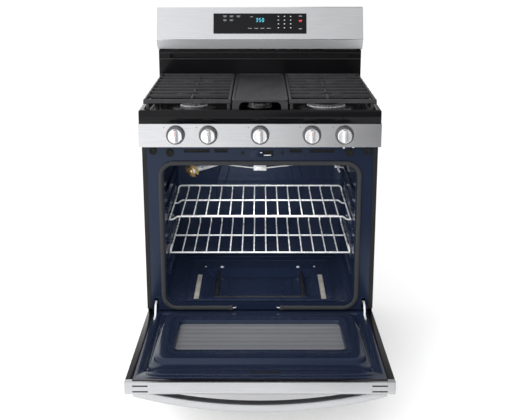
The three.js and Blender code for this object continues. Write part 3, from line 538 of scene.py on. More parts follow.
# Flat folded sheets, on which smooth shading would show folds that aren't there.
FLAT_SHEETS = {
    "rear_cover", "door_skin", "drawer_front", "side_panel_left", "side_panel_right", "backguard_rear",
}


def dress(node, material, edge=0.0005):
    """A CAD node's own material, with its sharp edges broken."""
    piece = frame["nodes"][node]
    piece.data.materials.clear()
    piece.data.materials.append(material)
    if "custom_normal" in piece.data.attributes:
        piece.data.attributes.remove(piece.data.attributes["custom_normal"])
    if node in FLAT_SHEETS:
        piece.data.shade_flat()
    else:
        piece.data.shade_smooth()
    weld = piece.modifiers.new("weld", "WELD")
    weld.merge_threshold = 1e-5
    if edge:
        bevel = piece.modifiers.new("edge", "BEVEL")
        bevel.width = edge
        bevel.segments = 2
        bevel.limit_method = "ANGLE"
        bevel.angle_limit = math.radians(28)
        bevel.harden_normals = node not in FLAT_SHEETS


CARRIED = {
    "side_panel_left": PAINT,
    "side_panel_right": PAINT,
    "base_pan": GALVANISED,
    "rear_cover": GALVANISED,
    "front_frame": NAVY,
    "bake_burner": TUBE_STEEL,
    "insulation_blanket": FIBRE,
    "control_panel": STEEL,
    "gas_manifold": GALVANISED,
    "backguard_rear": PAINT,
    "riser_panel": ENAMEL,
    "display_glass": SCREEN,
    # door_skin and drawer_front take the darker copy of the steel, which is painted shade.
    "door_skin": DOOR_STEEL_PAINTED_SHADE,
    "door_outer_glass": DARK_GLASS,
    "door_inner_glass": WINDOW,
    "hinge_arm_left": CHROME,
    "hinge_arm_right": CHROME,
    "drawer_front": DOOR_STEEL_PAINTED_SHADE,
    "drawer_box": GALVANISED,
    "valve_stem_1": GALVANISED,
    "valve_stem_2": GALVANISED,
    "valve_stem_3": GALVANISED,
    "valve_stem_4": GALVANISED,
    "valve_stem_5": GALVANISED,
}


def carried_nodes():
    for node, material in CARRIED.items():
        dress(node, material, 0 if node == "rear_cover" else 0.0005)


# ------------------------------------------------------------------ oven racks


def oven_rack(node, body, share, lift=0.0):
    """A wire rack: a rim, one cross rod and long wires that turn up to the rear rail.

    share is how far back the cross rod is. With lift the wires lie that far above the side
    rails, and the rods across bend down to the rails at their ends.
    """
    low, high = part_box(node)
    rim, wire, rod = 0.003, 0.0022, 0.0028
    plane, top = low.z + rim, high.z - rim
    half, front, rear = high.x - rim, low.y + rim, high.y - rim
    rise = rear - 0.006
    mould = Mould()
    corners = [
        (half, front, plane), (half, rise, plane), (half - 0.004, rear, top), (-half + 0.004, rear, top),
        (-half, rise, plane), (-half, front, plane),
    ]
    mould.tube(bent(corners, 0.013), rim, 12)
    for y, radius in ((front, rim), (front + share * (rear - front), rod)):
        ends = [(-half, y, plane), (half, y, plane)]
        if lift:
            ends = [
                (-half, y, plane), (-half + 0.013, y, plane), (-half + 0.026, y, plane + lift),
                (half - 0.026, y, plane + lift), (half - 0.013, y, plane), (half, y, plane),
            ]
        mould.tube(bent(ends, 0.006), radius, 12)
    for side in (-1, 1):
        guard = [
            (side * half, front + 0.062, plane), (side * half, front + 0.05, plane + 0.012),
            (side * half, front + 0.012, plane + 0.012), (side * half, front, plane),
        ]
        if not lift:
            mould.tube(bent(guard, 0.008), rod, 10)
    count = 14
    pitch = 2 * half / (count + 1)
    on = plane + lift + 0.0012
    for i in range(count):
        x = -half + pitch * (i + 1)
        path = [(x, front, on), (x, rise - 0.004, on), (x, rear, on + 0.009), (x, rear, top)]
        mould.tube(bent(path, 0.008), wire, 8)
    mould.make(node + "_wires", body, "rack_chrome", CHROME, replaces=(node,))


# ------------------------------------------------------------------ cooktop


def cooktop():
    """A pressed top: a rolled rim and a sunken well; burner_seats adds the raised seat around each burner."""
    low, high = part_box("cooktop")
    side, near, far = 0.016, 0.010, high.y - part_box("riser_panel")[0].y + 0.008
    depth, roll = 0.017, 0.006
    levels = [
        (0, 0, 0, low.z, 0.004),
        (0, 0, 0, high.z - roll, 0.006),
        (0.0008, 0.0008, 0.0008, high.z - roll * 0.5, 0.007),
        (0.0026, 0.0026, 0.0026, high.z - roll * 0.16, 0.008),
        (0.006, 0.005, 0.006, high.z, 0.01),
        (side - 0.004, near - 0.003, far - 0.004, high.z, 0.012),
        (side - 0.001, near - 0.0008, far - 0.001, high.z - 0.001, 0.014),
        (side, near, far, high.z - 0.004, 0.015),
        (side + 0.002, near + 0.002, far + 0.002, high.z - depth + 0.003, 0.02),
        (side + 0.006, near + 0.006, far + 0.006, high.z - depth, 0.022),
    ]
    rings = []
    for dx, dy0, dy1, z, r in levels:
        flat = outline(low.x + dx, high.x - dx, low.y + dy0, high.y - dy1, r, 5)
        rings.append([Vector((x, y, z)) for x, y in flat])
    mould = Mould()
    mould.loft(rings, caps=(False, True))
    mould.make("cooktop_top", "range_body", "black_enamel", ENAMEL, replaces=("cooktop",), wall=SHEET)


def burner_seats(spots):
    mould = Mould()
    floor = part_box("cooktop")[1].z - 0.017
    for x, y, radius in spots:
        profile = [
            (radius + 0.026, -0.0005), (radius + 0.022, 0.0007), (radius + 0.012, 0.0026),
            (radius + 0.004, 0.0034),
        ]
        profile.append((radius - 0.01, 0.0034))
        mould.lathe(profile, (x, y, floor), steps=56)
    mould.make("burner_seats", "range_body", "black_enamel", ENAMEL)


def burner(name):
    """A round aluminium head with its ring of flame ports, and its enamelled cap."""
    low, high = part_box(f"burner_head_{name}")
    cap_low, cap_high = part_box(f"burner_cap_{name}")
    x, y = (low.x + high.x) / 2, (low.y + high.y) / 2
    radius, cap_radius = (high.x - low.x) / 2, (cap_high.x - cap_low.x) / 2
    seat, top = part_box("cooktop")[1].z - 0.017, high.z
    tall = top - seat
    teeth = max(20, round(radius * 620))

    def notch(level, k):
        return 0.955 if level in (4, 5) and k % 4 in (0, 1) else 1

    profile = [
        (radius - 0.004, 0.0),
        (radius, 0.0035),
        (radius, tall * 0.42),
        (radius - 0.004, tall * 0.5),
        (radius - 0.0055, tall * 0.54),
        (radius - 0.0055, tall * 0.9),
        (radius - 0.0065, tall * 0.95),
        (radius - 0.014, tall),
    ]
    head = Mould()
    head.lathe(profile, (x, y, seat), steps=teeth * 4, ripple=notch)
    head.lathe([(0.0155, -0.014), (0.0155, 0.001)], (x, y, seat), steps=24)
    head.make(
        f"burner_{name}_ported_head", "range_body", "burner_aluminium", ALUMINIUM,
        replaces=(f"burner_head_{name}",), sharp=40,
    )
    thick = cap_high.z - cap_low.z
    cap_profile = [
        (cap_radius - 0.003, 0.0),
        (cap_radius - 0.0006, 0.0012),
        (cap_radius, 0.003),
        (cap_radius - 0.0008, 0.0048),
        (cap_radius - 0.0035, thick * 0.72),
        (cap_radius * 0.8, thick * 0.88),
        (cap_radius * 0.55, thick * 0.96),
        (cap_radius * 0.25, thick * 0.995),
        (0.001, thick),
    ]
    cap = Mould()
    cap.lathe(cap_profile, (x, y, cap_low.z), steps=64)
    cap.make(
        f"burner_{name}_domed_cap", "range_body", "cast_iron", ENAMEL,
        replaces=(f"burner_cap_{name}",),
    )
    return x, y, radius


def oval_ring(half, front, rear, z, steps=14, teeth=None):
    """A stadium's points at height z; with teeth, every second pair is drawn in."""
    flat = outline(-half, half, front, rear, half - 1e-4, steps)
    ring = []
    for k, (x, y) in enumerate(flat):
        inward = Vector((x, y)) - Vector((0, min(max(y, front + half), rear - half)))
        scale = teeth if teeth and k % 4 in (0, 1) else 1
        base = Vector((x, y)) - inward * (1 - scale)
        ring.append(Vector((base.x, base.y, z)))
    return ring


def centre_burner():
    low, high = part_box("burner_head_centre")
    cap_low, cap_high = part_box("burner_cap_centre")
    half, front, rear = high.x, low.y, high.y
    seat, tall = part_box("cooktop")[1].z - 0.017, high.z - (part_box("cooktop")[1].z - 0.017)
    head = Mould()
    levels = [
        (0.004, 0.0, None), (0, 0.0035, None), (0, tall * 0.42, None), (0.004, tall * 0.5, None),
        (0.0055, tall * 0.54, 0.93), (0.0055, tall * 0.9, 0.93), (0.0065, tall * 0.95, None),
        (0.014, tall, None),
    ]
    rings = [
        oval_ring(half - inset, front + inset, rear - inset, seat + z, 14, teeth)
        for inset, z, teeth in levels
    ]
    head.loft(rings)
    head.make(
        "burner_centre_ported_head", "range_body", "burner_aluminium", ALUMINIUM,
        replaces=("burner_head_centre",), sharp=40,
    )
    cap = Mould()
    cap_half, y0, y1 = cap_high.x, cap_low.y, cap_high.y
    thick = cap_high.z - cap_low.z
    cap_levels = [
        (0.003, 0.0), (0.0006, 0.0012), (0, 0.003), (0.0008, 0.0048), (0.0035, thick * 0.74),
        (0.009, thick * 0.92), (0.016, thick),
    ]
    cap.loft([oval_ring(cap_half - i, y0 + i, y1 - i, cap_low.z + z, 10) for i, z in cap_levels])
    cap.make(
        "burner_centre_long_cap", "range_body", "cast_iron", ENAMEL, replaces=("burner_cap_centre",),
    )


def igniters(spots):
    """A ceramic-sleeved electrode beside each burner."""
    mould = Mould()
    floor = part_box("cooktop")[1].z - 0.017
    for x, y, radius in spots:
        reach = radius + 0.007
        turn = math.radians(50)
        place = (x + reach * math.cos(turn), y + reach * math.sin(turn), floor)
        mould.lathe([(0.0042, 0), (0.0042, 0.009), (0.0032, 0.011), (0.0032, 0.015)], place, steps=14)
        mould.lathe([(0.0011, 0.014), (0.0011, 0.021), (0.0004, 0.022)], place, steps=8, mark=1)
    mould.make("igniter_electrodes", "range_body", "burner_aluminium", CERAMIC, CHROME)


BAR_STARTS = (0.013, 0.103, 0.171, 0.236, 0.306, 0.367, 0.432, 0.504, 0.578)
BAR_WIDTH = 0.010


def cast_bar(mould, start, end, wide=BAR_WIDTH, tall=0.014, top_share=0.74):
    """A cast bar between two points on its top centreline: it narrows upwards, edges rounded."""
    start, end = Vector(start), Vector(end)
    along = (end - start).normalized()
    across = along.cross(Vector((0, 0, 1))).normalized()
    base, crown = wide / 2, wide / 2 * top_share
    section = [
        (-base + 0.001, -tall), (base - 0.001, -tall), (base, -tall + 0.0012), (crown + 0.0004, -0.0026),
        (crown - 0.0006, -0.0008), (crown - 0.0022, 0), (-crown + 0.0022, 0), (-crown + 0.0006, -0.0008),
        (-crown - 0.0004, -0.0026), (-base, -tall + 0.0012),
    ]
    length = (end - start).length
    rings = []
    for distance, shrink in ((0, 0.8), (0.0012, 1), (length - 0.0012, 1), (length, 0.8)):
        point = start + along * distance
        ring = [point + across * u * shrink + Vector((0, 0, v * (0.5 + shrink / 2))) for u, v in section]
        rings.append(ring)
    mould.loft(rings)


def grate(side, name, spots):
    """A cast grate: cross bars, a closed rear loop, side rails, fingers and tapered feet."""
    low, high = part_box(f"grate_{name}")
    inner, outer = (low.x, high.x) if side > 0 else (high.x, low.x)
    top = high.z
    mould = Mould()
    reach = BAR_WIDTH / 2
    for x in (inner + side * reach, outer - side * reach):
        cast_bar(mould, (x, low.y + 0.002, top), (x, high.y - 0.002, top))
    for i, start in enumerate(BAR_STARTS):
        y = FRONT + start + reach
        wide, tall = (0.013, 0.012) if i == 0 else (BAR_WIDTH, 0.011)
        shift = 0.0015 if i == 0 else 0
        cast_bar(
            mould, (inner + side * 0.001, y + shift, top), (outer - side * 0.001, y + shift, top), wide, tall,
        )
    for x, y, radius in spots:
        if x * side < 0:
            continue
        for way in (-1, 1):
            cast_bar(
                mould, (x, y + way * 0.020, top - 0.001), (x, y + way * 0.094, top - 0.001), 0.009, 0.013,
            )
        cast_bar(mould, (x - 0.052, y, top - 0.0012), (x - 0.018, y, top - 0.0012), 0.008, 0.012)
        cast_bar(mould, (x + 0.018, y, top - 0.0012), (x + 0.052, y, top - 0.0012), 0.008, 0.012)
    foot_top, foot_low = top - 0.012, low.z
    for start in (BAR_STARTS[0], BAR_STARTS[4], BAR_STARTS[-1]):
        y = FRONT + start + reach + (0.0015 if start == BAR_STARTS[0] else 0)
        for x in (inner + side * 0.008, outer - side * 0.014):
            rings = []
            for share in (0, 0.08, 1):
                spread = 0.0068 - 0.0024 * share - (0.0008 if share == 0 else 0)
                z = foot_low + (foot_top - foot_low) * share
                flat = outline(x - spread, x + spread, y - spread * 0.8, y + spread * 0.8, 0.002, 3)
                rings.append([Vector((a, b, z)) for a, b in flat])
            mould.loft(rings)
    mould.make(f"grate_{name}_casting", f"{name}_grate", "cast_iron", IRON, replaces=(f"grate_{name}",))


def griddle():
    """A cast plate with a raised rim, a sunken cooking face and arched end skirts."""
    low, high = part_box("griddle")
    top = high.z
    mould = Mould()
    levels = [
        (0.004, -0.008), (0.0008, -0.0075), (0, -0.006), (0, -0.002), (0.0006, -0.0007), (0.002, 0),
        (0.0065, 0), (0.0078, -0.0005), (0.0098, -0.0026), (0.012, -0.003),
    ]
    rings = []
    for inset, z in levels:
        corner = max(0.010 - inset * 0.4, 0.004)
        flat = outline(low.x + inset, high.x - inset, low.y + inset, high.y - inset, corner, 6)
        rings.append([Vector((x, y, top + z)) for x, y in flat])
    mould.loft(rings)
    for y0 in (low.y, high.y - 0.005):
        mould.loft(skirt_rings(low, high, y0, y0 + 0.005, top - 0.006))
    mould.make("griddle_casting", "griddle_plate", "cast_iron", PLATE_IRON, replaces=("griddle",))


def skirt_rings(low, high, y0, y1, top):
    """The arched skirt at one end of the griddle, as rings from its front to its rear."""
    half, arch = high.x - 0.001, 0.066
    crown, foot = top - 0.0015, low.z
    step = foot + 0.010
    right = [(half, top), (half, step), (half - 0.002, foot), (half - 0.014, foot), (half - 0.016, step)]
    curve = []
    for k in range(7):
        a = math.radians(90 * k / 6)
        curve.append((arch - 0.016 + 0.016 * math.cos(a), crown - 0.016 + 0.016 * math.sin(a)))
    right += [(arch, step)] + curve
    whole = right + [(-x, z) for x, z in reversed(right)]
    rings = []
    for y, inset in ((y0, 0.0006), (y0 + 0.0008, 0), (y1 - 0.0008, 0), (y1, 0.0006)):
        rings.append([Vector((x * (1 - inset), y, z)) for x, z in whole])
    return rings


# ------------------------------------------------------------------ controls


def knob(index):
    """A turned knob with a dark skirt ring, a grip bar and an indicator line."""
    low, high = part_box(f"knob_{index}")
    x, z, back = (low.x + high.x) / 2, (low.z + high.z) / 2, high.y
    radius, deep = (high.x - low.x) / 2, high.y - low.y
    face = deep - 0.012
    mould = Mould()
    ring = [
        (radius - 0.001, 0.0), (radius, 0.001), (radius, 0.0042), (radius - 0.0008, 0.0056),
        (radius - 0.0022, 0.006), (radius - 0.0042, 0.0058), (radius - 0.0056, 0.0045),
    ]
    mould.lathe(ring, (x, back, z), "y", 64, mark=1)
    body = [
        (radius - 0.0062, 0.003), (radius - 0.0066, face - 0.003), (radius - 0.0072, face - 0.001),
        (radius - 0.0088, face),
    ]
    mould.lathe(body, (x, back, z), "y", 64)
    foot_half, crest_half, reach = 0.0098, 0.0062, radius - 0.0074
    rings = []
    for share, out in ((0, face - 0.002), (0.45, face + 0.006), (0.85, deep - 0.0012), (1, deep - 0.0003)):
        half = foot_half + (crest_half - foot_half) * share - (0.0012 if share == 1 else 0)
        tall = reach - 0.002 * share - (0.0012 if share == 1 else 0)
        flat = outline(x - half, x + half, z - tall, z + tall, half * 0.92, 8)
        rings.append([Vector((u, back - out, v)) for u, v in flat])
    mould.loft(rings)
    front = back - deep
    mould.slab(
        (x - 0.0011, front + 0.0001, z + 0.004), (x + 0.0011, front + 0.0008, z + reach - 0.004),
        0.0003, 1, 2,
    )
    mould.make(
        f"knob_{index}_turned", f"dial_{index}", "knob_metal", KNOB, RING, INDICATOR,
        replaces=(f"knob_{index}",), sharp=30,
    )


def panel_marks():
    """A small printed dot by each knob and two smaller dots beside it."""
    mould = Mould()
    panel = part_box("control_panel")[0].y
    for index in range(1, 6):
        low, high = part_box(f"knob_{index}")
        x, z = (low.x + high.x) / 2, (low.z + high.z) / 2
        for dx, dz, size in ((-0.036, 0.024, 0.0016), (-0.039, -0.004, 0.0009), (0.036, 0.02, 0.0009)):
            mould.lathe([(size, -0.0001), (size, 0.00012)], (x + dx, panel, z + dz), "y", 14)
    mould.make("panel_dots", "range_body", "black_paint", INK)


# ------------------------------------------------------------------ backguard

GUARD_LOW, GUARD_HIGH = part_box("backguard_panel")
RIDGE = Vector((0, GUARD_LOW.y, GUARD_LOW.z + 0.040))
CREST = Vector((0, GUARD_LOW.y + 0.043, GUARD_HIGH.z))
LEAN = (CREST - RIDGE).normalized()
OUTWARD = Vector((0, -LEAN.z, LEAN.y))
GLASS_TOP = RIDGE + (CREST - RIDGE) * 0.81
GLASS_FRONT = 0.0033


def on_glass(u, v, out=0.00008):
    """A point on the control glass: u to the right, v down from its top edge."""
    return Vector((u, 0, 0)) + GLASS_TOP - LEAN * v + OUTWARD * (GLASS_FRONT + out)


def backguard():
    """The folded steel front: a bevel, a ridge, a leaning face and a flat top."""
    low, high = GUARD_LOW, GUARD_HIGH
    profile = [
        (0, low.y + 0.047, low.z + 0.0008), (0, low.y + 0.037, low.z + 0.0008), tuple(RIDGE),
        (0, CREST.y, CREST.z), (0, high.y, high.z),
    ]
    path = bent(profile, 0.0045, steps=6)
    rings = []
    for x, inset in (
        (high.x - 0.0004, 0.001), (high.x, 0), (high.x - 0.002, 0), (low.x + 0.002, 0), (low.x, 0),
        (low.x + 0.0004, 0.001),
    ):
        rings.append([Vector((x, p.y + inset, p.z - inset)) for p in path])
    mould = Mould()
    mould.loft(rings, around=False, caps=(False, False))
    # The bevel's faces take the duller, darker copy of the steel: painted shade.
    bends = 7
    mould.marks = [
        1 if face % (len(path) - 1) in (bends, bends + 1, bends + 2) else 0
        for face in range(len(mould.faces))
    ]
    mould.make(
        "backguard_folded_front", "range_body", "stainless", STEEL, SHADED_STEEL,
        replaces=("backguard_panel",), wall=SHEET,
    )


def stroke(mould, u0, v0, u1, v1, wide, mark=0):
    """A flat raised line on the control glass."""
    along = Vector((u1 - u0, v1 - v0)).normalized() * (wide / 2)
    side = Vector((-along.y, along.x))
    flat = [
        (u0 - along.x + side.x, v0 - along.y + side.y), (u1 + along.x + side.x, v1 + along.y + side.y),
        (u1 + along.x - side.x, v1 + along.y - side.y), (u0 - along.x - side.x, v0 - along.y - side.y),
    ]
    mould.loft([[on_glass(u, v, out) for u, v in flat] for out in (0.00002, 0.00016)], mark=mark)


SEGMENTS = {"a": (0, 0, 1, 0), "b": (1, 0, 1, 1), "c": (1, 1, 1, 2), "d": (0, 2, 1, 2), "e": (0, 1, 0, 2),
            "f": (0, 0, 0, 1), "g": (0, 1, 1, 1)}
DIGITS = {"3": "abgcd", "5": "afgcd", "0": "abcdef"}


def display_print():
    """Glowing digits, key dots and small label lines on the control glass."""
    mould = Mould()
    wide, tall = 0.0052, 0.0062
    for place, digit in enumerate("350"):
        u, v = -0.0135 + place * 0.0108, 0.0185
        for name in DIGITS[digit]:
            u0, v0, u1, v1 = SEGMENTS[name]
            stroke(mould, u + u0 * wide, v + v0 * tall, u + u1 * wide, v + v1 * tall, 0.0011)
    for u in (0.067, 0.089, 0.1115):
        for v in (0.011, 0.025, 0.039, 0.0535):
            stroke(mould, u - 0.0012, v, u + 0.0012, v, 0.0022, 1)
    for v, mark in ((0.010, 2), (0.0265, 3), (0.0575, 2)):
        stroke(mould, 0.1425, v, 0.1515, v, 0.0026, mark)
    stroke(mould, 0.1435, 0.0305, 0.1505, 0.0305, 0.0016, 3)
    for u, v in ((-0.128, 0.010), (-0.104, 0.010), (-0.079, 0.010), (-0.128, 0.0245), (-0.104, 0.0245)):
        stroke(mould, u - 0.0058, v, u + 0.0058, v, 0.0018, 2)
        stroke(mould, u - 0.0035, v + 0.0036, u + 0.0035, v + 0.0036, 0.0011, 2)
    stroke(mould, -0.034, 0.0125, -0.027, 0.0125, 0.0018, 2)
    for u in (-0.0365, -0.0135, 0.009, 0.0315):
        stroke(mould, u - 0.0062, 0.0555, u + 0.0062, 0.0555, 0.0018, 2)
    mould.make("display_print", "range_body", "display_glass", CYAN, WHITE, DIM, RED)


def vent_louvre():
    """A steel lip, and a black sheet deep in the oven's vent slot that is painted shade for its dark throat.
    """
    riser_low, riser_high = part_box("riser_panel")
    low, high = GUARD_LOW.z - 0.029, GUARD_LOW.z - 0.013
    mould = Mould()
    wide = riser_high.x - 0.004
    mould.slab(
        (-wide, riser_low.y - 0.003, low - 0.0045), (wide, riser_low.y + 0.002, low - 0.0015), 0.0007, 0,
    )
    mould.slab(
        (-wide, riser_low.y - 0.002, high + 0.0015), (wide, riser_low.y + 0.002, high + 0.0035), 0.0007, 0,
    )
    mould.make("vent_lips", "range_body", "black_paint", IRON)
    # A black sheet behind the vent slot: painted shade for the slot's dark inside.
    throat = Mould()
    throat.slab(
        (-0.333, riser_low.y + 0.012, low - 0.003), (0.333, riser_low.y + 0.014, high + 0.003), 0.0006, 1,
    )
    throat.make("vent_throat_painted_shade", "range_body", "black_paint", RUBBER)


# ------------------------------------------------------------------ oven cavity

CAVITY_LOW, CAVITY_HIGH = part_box("oven_liner")
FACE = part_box("front_frame")[0].y
FLOOR_LOW, FLOOR_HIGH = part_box("oven_floor")
CAVITY_HALF = CAVITY_HIGH.x - SHEET
CAVITY_ROOF = CAVITY_HIGH.z - SHEET
CAVITY_REAR = CAVITY_HIGH.y - SHEET
CAVITY_FLOOR = FLOOR_HIGH.z - SHEET - 0.0003
TROUGH_HALF = FLOOR_HIGH.x - 0.010


def cavity_ring(y, inset, corner, sunk=True):
    """The cavity's section at one depth, with the trough under its floor."""
    half, roof, floor = CAVITY_HALF - inset, CAVITY_ROOF - inset, CAVITY_FLOOR + inset
    trough = min(TROUGH_HALF, half - 0.01)
    low = CAVITY_LOW.z + SHEET if sunk else floor - 0.0002
    flat = []
    for u, v, start in ((half, roof, 0), (-half, roof, 90), (-half, floor, 180)):
        cu, cv = u - math.copysign(corner, u), v - corner if v == roof else v + corner
        for k in range(7):
            a = math.radians(start + 90 * k / 6)
            flat.append((cu + corner * math.cos(a), cv + corner * math.sin(a)))
    flat += [(-trough, floor), (-trough, low), (trough, low), (trough, floor)]
    for k in range(7):
        a = math.radians(270 + 90 * k / 6)
        flat.append((half - corner + corner * math.cos(a), floor + corner + corner * math.sin(a)))
    return [Vector((u, y, v)) for u, v in flat]


def oven_cavity():
    """One pressed and enamelled box with rounded rear corners; wall_ribs and back_emboss add the wall ribs
    and the back emboss.
    """
    front = CAVITY_LOW.y
    sink = front + 0.022
    mould = Mould()
    rings = [cavity_ring(front, 0, 0.03, False), cavity_ring(front + 0.012, 0, 0.026, False)]
    rings += [cavity_ring(sink, 0, 0.022, False), cavity_ring(sink + 0.0004, 0, 0.022)]
    round_off = 0.018
    rings.append(cavity_ring(CAVITY_REAR - round_off, 0, 0.022))
    for k in range(1, 5):
        a = math.radians(90 * k / 4)
        inset = round_off * (1 - math.cos(a))
        rings.append(cavity_ring(CAVITY_REAR - round_off + round_off * math.sin(a), inset, 0.022, k < 3))
    mould.loft(rings, caps=(False, True))
    mould.make("oven_cavity", "range_body", "oven_enamel", NAVY, replaces=("oven_liner",), sharp=50)


def rib(mould, points, wide, proud, normal):
    """A low rounded rib pressed along a path on a wall."""
    path = [Vector(p) for p in points]
    out = Vector(normal)
    rings = []
    for i, point in enumerate(path):
        before = path[max(i - 1, 0)]
        after = path[min(i + 1, len(path) - 1)]
        across = (after - before).cross(out).normalized()
        end = 0.25 if i in (0, len(path) - 1) else 1
        ring = []
        for k in range(9):
            a = math.pi * k / 8
            lift = math.sin(a) ** 0.8 * proud * end
            ring.append(point + across * math.cos(a) * wide / 2 * (0.7 + 0.3 * end) + out * (lift - 0.0004))
        rings.append(ring)
    mould.loft(rings, around=False, caps=(False, False))


def wall_ribs():
    """Rack guides on both side walls, each a long rib with an upturned rear stop."""
    mould = Mould()
    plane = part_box("rack_lower")[0].z
    spacing = 0.0585
    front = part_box("rack_lower")[0].y - 0.03
    rear = CAVITY_REAR - 0.03
    for step in range(-1, 6):
        z = plane - 0.0045 + step * spacing
        if z > CAVITY_ROOF - 0.06:
            continue
        for side in (-1, 1):
            x = side * CAVITY_HALF
            inward = (-side, 0, 0)
            path = [
                (x, front, z - 0.004), (x, front + 0.016, z), (x, rear - 0.03, z),
                (x, rear - 0.012, z + 0.006),
            ]
            path.append((x, rear, z + 0.02))
            rib(mould, bent(path, 0.012), 0.013, 0.008, inward)
            rib(mould, [(x, front + 0.004, z + 0.03), (x, rear - 0.05, z + 0.03)], 0.007, 0.0025, inward)
    mould.make("oven_wall_ribs", "range_body", "oven_enamel", NAVY, sharp=60)


def back_emboss():
    """A broad raised panel on the rear wall, eight-sided, with a second step inside it."""
    mould = Mould()
    for scale, depth in ((1.0, 0.0), (0.8, 0.0014)):
        outer = [(0.118, 0.70), (0.163, 0.55), (0.163, 0.47), (0.118, 0.385), (0.075, 0.312)]
        shape = [(x * scale, z) for x, z in outer]
        shape = shape + [(-x, z) for x, z in reversed(shape)]
        centre_z = 0.5
        rings = []
        for grow, lift in ((1.02, -0.0006), (1.0, 0.0006), (0.985, 0.0014), (0.97, 0.0016)):
            rings.append([
                Vector(
                    (
                        x * grow, CAVITY_REAR - depth - lift,
                        centre_z + (z - centre_z) * (grow if scale == 1 else grow * 0.86),
                    ),
                )
                for x, z in shape
            ])
        mould.loft(rings, caps=(False, True))
    for z in (0.355, 0.337):
        rib(
            mould, [(-0.07, CAVITY_REAR - 0.003, z), (0.07, CAVITY_REAR - 0.003, z)],
            0.005, 0.002, (0, -1, 0),
        )
    step_low = CAVITY_FLOOR + 0.004
    for z, out in ((step_low + 0.012, 0.016), (step_low, 0.028)):
        mould.slab(
            (-CAVITY_HALF + 0.03, CAVITY_REAR - out, z - 0.012),
            (CAVITY_HALF - 0.03, CAVITY_REAR + 0.0004, z), 0.004, 0,
        )
    mould.make("oven_back_emboss", "range_body", "oven_enamel", NAVY, sharp=25)


DISH_DEPTH = 0.021
SLOT_X = 0.2155
SLOT_HALF_WIDTH = 0.0085
STRIP_HALF_WIDTH = 0.012


def floor_panel():
    """The lift-out floor: side slots over the burner and a stepped dish with sloping walls."""
    top = FLOOR_HIGH.z
    front, rear, half = FLOOR_LOW.y, FLOOR_HIGH.y - 0.02, FLOOR_HIGH.x
    dish_rear = rear - 0.13
    mould = Mould()
    levels = [
        (half, front, rear, 0, 0.004), (half, front, rear, 0.0012, 0.004),
        (half - 0.004, front + 0.004, rear - 0.004, 0.0012, 0.006),
        (0.201, front + 0.035, dish_rear, 0.0012, 0.03),
        (0.196, front + 0.04, dish_rear - 0.005, -0.0006, 0.028),
        (0.178, front + 0.052, dish_rear - 0.034, -DISH_DEPTH + 0.002, 0.022),
        (0.172, front + 0.057, dish_rear - 0.041, -DISH_DEPTH, 0.02),
        (0.114, front + 0.075, dish_rear - 0.062, -DISH_DEPTH, 0.012),
        (0.111, front + 0.078, dish_rear - 0.065, -DISH_DEPTH + 0.0028, 0.011),
        (0.105, front + 0.084, dish_rear - 0.071, -DISH_DEPTH + 0.003, 0.01),
        (0.080, front + 0.105, dish_rear - 0.092, -DISH_DEPTH + 0.003, 0.006),
        (0.077, front + 0.108, dish_rear - 0.095, -DISH_DEPTH + 0.0052, 0.005),
    ]
    rings = []
    for width, y0, y1, z, corner in levels:
        flat = outline(-width, width, y0, y1, corner, 6)
        rings.append([Vector((x, y, top - SHEET + z)) for x, y in flat])
    mould.loft(rings, caps=(False, True))
    piece = mould.make(
        "oven_floor_panel", "range_body", "oven_enamel", NAVY, replaces=("oven_floor",), sharp=28,
    )
    slots = Mould()
    for side in (-1, 1):
        slots.slab(
            (side * SLOT_X - SLOT_HALF_WIDTH, front + 0.012, top - 0.004),
            (side * SLOT_X + SLOT_HALF_WIDTH, front + 0.262, top + 0.004), 0.002, 2,
        )
    cut(piece, slots)
    lining = Mould()
    for side in (-1, 1):
        lining.slab(
            (side * SLOT_X - STRIP_HALF_WIDTH, front + 0.024, top - 0.004),
            (side * SLOT_X + STRIP_HALF_WIDTH, front + 0.268, top - 0.0026), 0.0006, 2,
        )
    lining.make("floor_slot_deflectors", "range_body", "galvanised", DEFLECTOR)
    lines = Mould()
    corners = [
        (-0.25, front + 0.014, top), (0.25, front + 0.014, top), (0.25, rear - 0.05, top),
        (-0.25, rear - 0.05, top),
    ]
    frame_line = bent(corners, 0.02, closed=True)
    rib(lines, frame_line + frame_line[:2], 0.006, 0.0022, (0, 0, 1))
    dish = top - SHEET - DISH_DEPTH + 0.0052
    for half, y in ((0.045, dish_rear - 0.105), (0.06, front + 0.118)):
        rib(lines, [(-half, y, dish), (0, y, dish), (half, y, dish)], 0.004, 0.0016, (0, 0, 1))
    lines.make("oven_floor_lines", "range_body", "oven_enamel", NAVY, sharp=60)
    screws = Mould()
    for side in (-1, 1):
        screw_head(screws, (side * 0.14, dish_rear + 0.006, top), (0, 0, 1), 0.006, 0.004)
        screw_head(screws, (side * 0.2, dish_rear + 0.012, top), (0, 0, 1), 0.0035, 0.002)
    screws.make("oven_floor_screws", "range_body", "rack_chrome", CHROME)


def cut(piece, mould):
    """Cuts the mould's closed shapes out of a piece."""
    mesh = bpy.data.meshes.new("cutter")
    mesh.from_pydata([tuple(p) for p in mould.points], [], mould.faces)
    cutter = bpy.data.objects.new("cutter", mesh)
    scene.collection.objects.link(cutter)
    boolean = piece.modifiers.new("cut", "BOOLEAN")
    boolean.object = cutter
    boolean.solver = "EXACT"
    bpy.context.view_layer.update()
    result = bpy.data.meshes.new_from_object(piece.evaluated_get(bpy.context.evaluated_depsgraph_get()))
    piece.modifiers.remove(boolean)
    piece.data = result
    bpy.data.objects.remove(cutter)


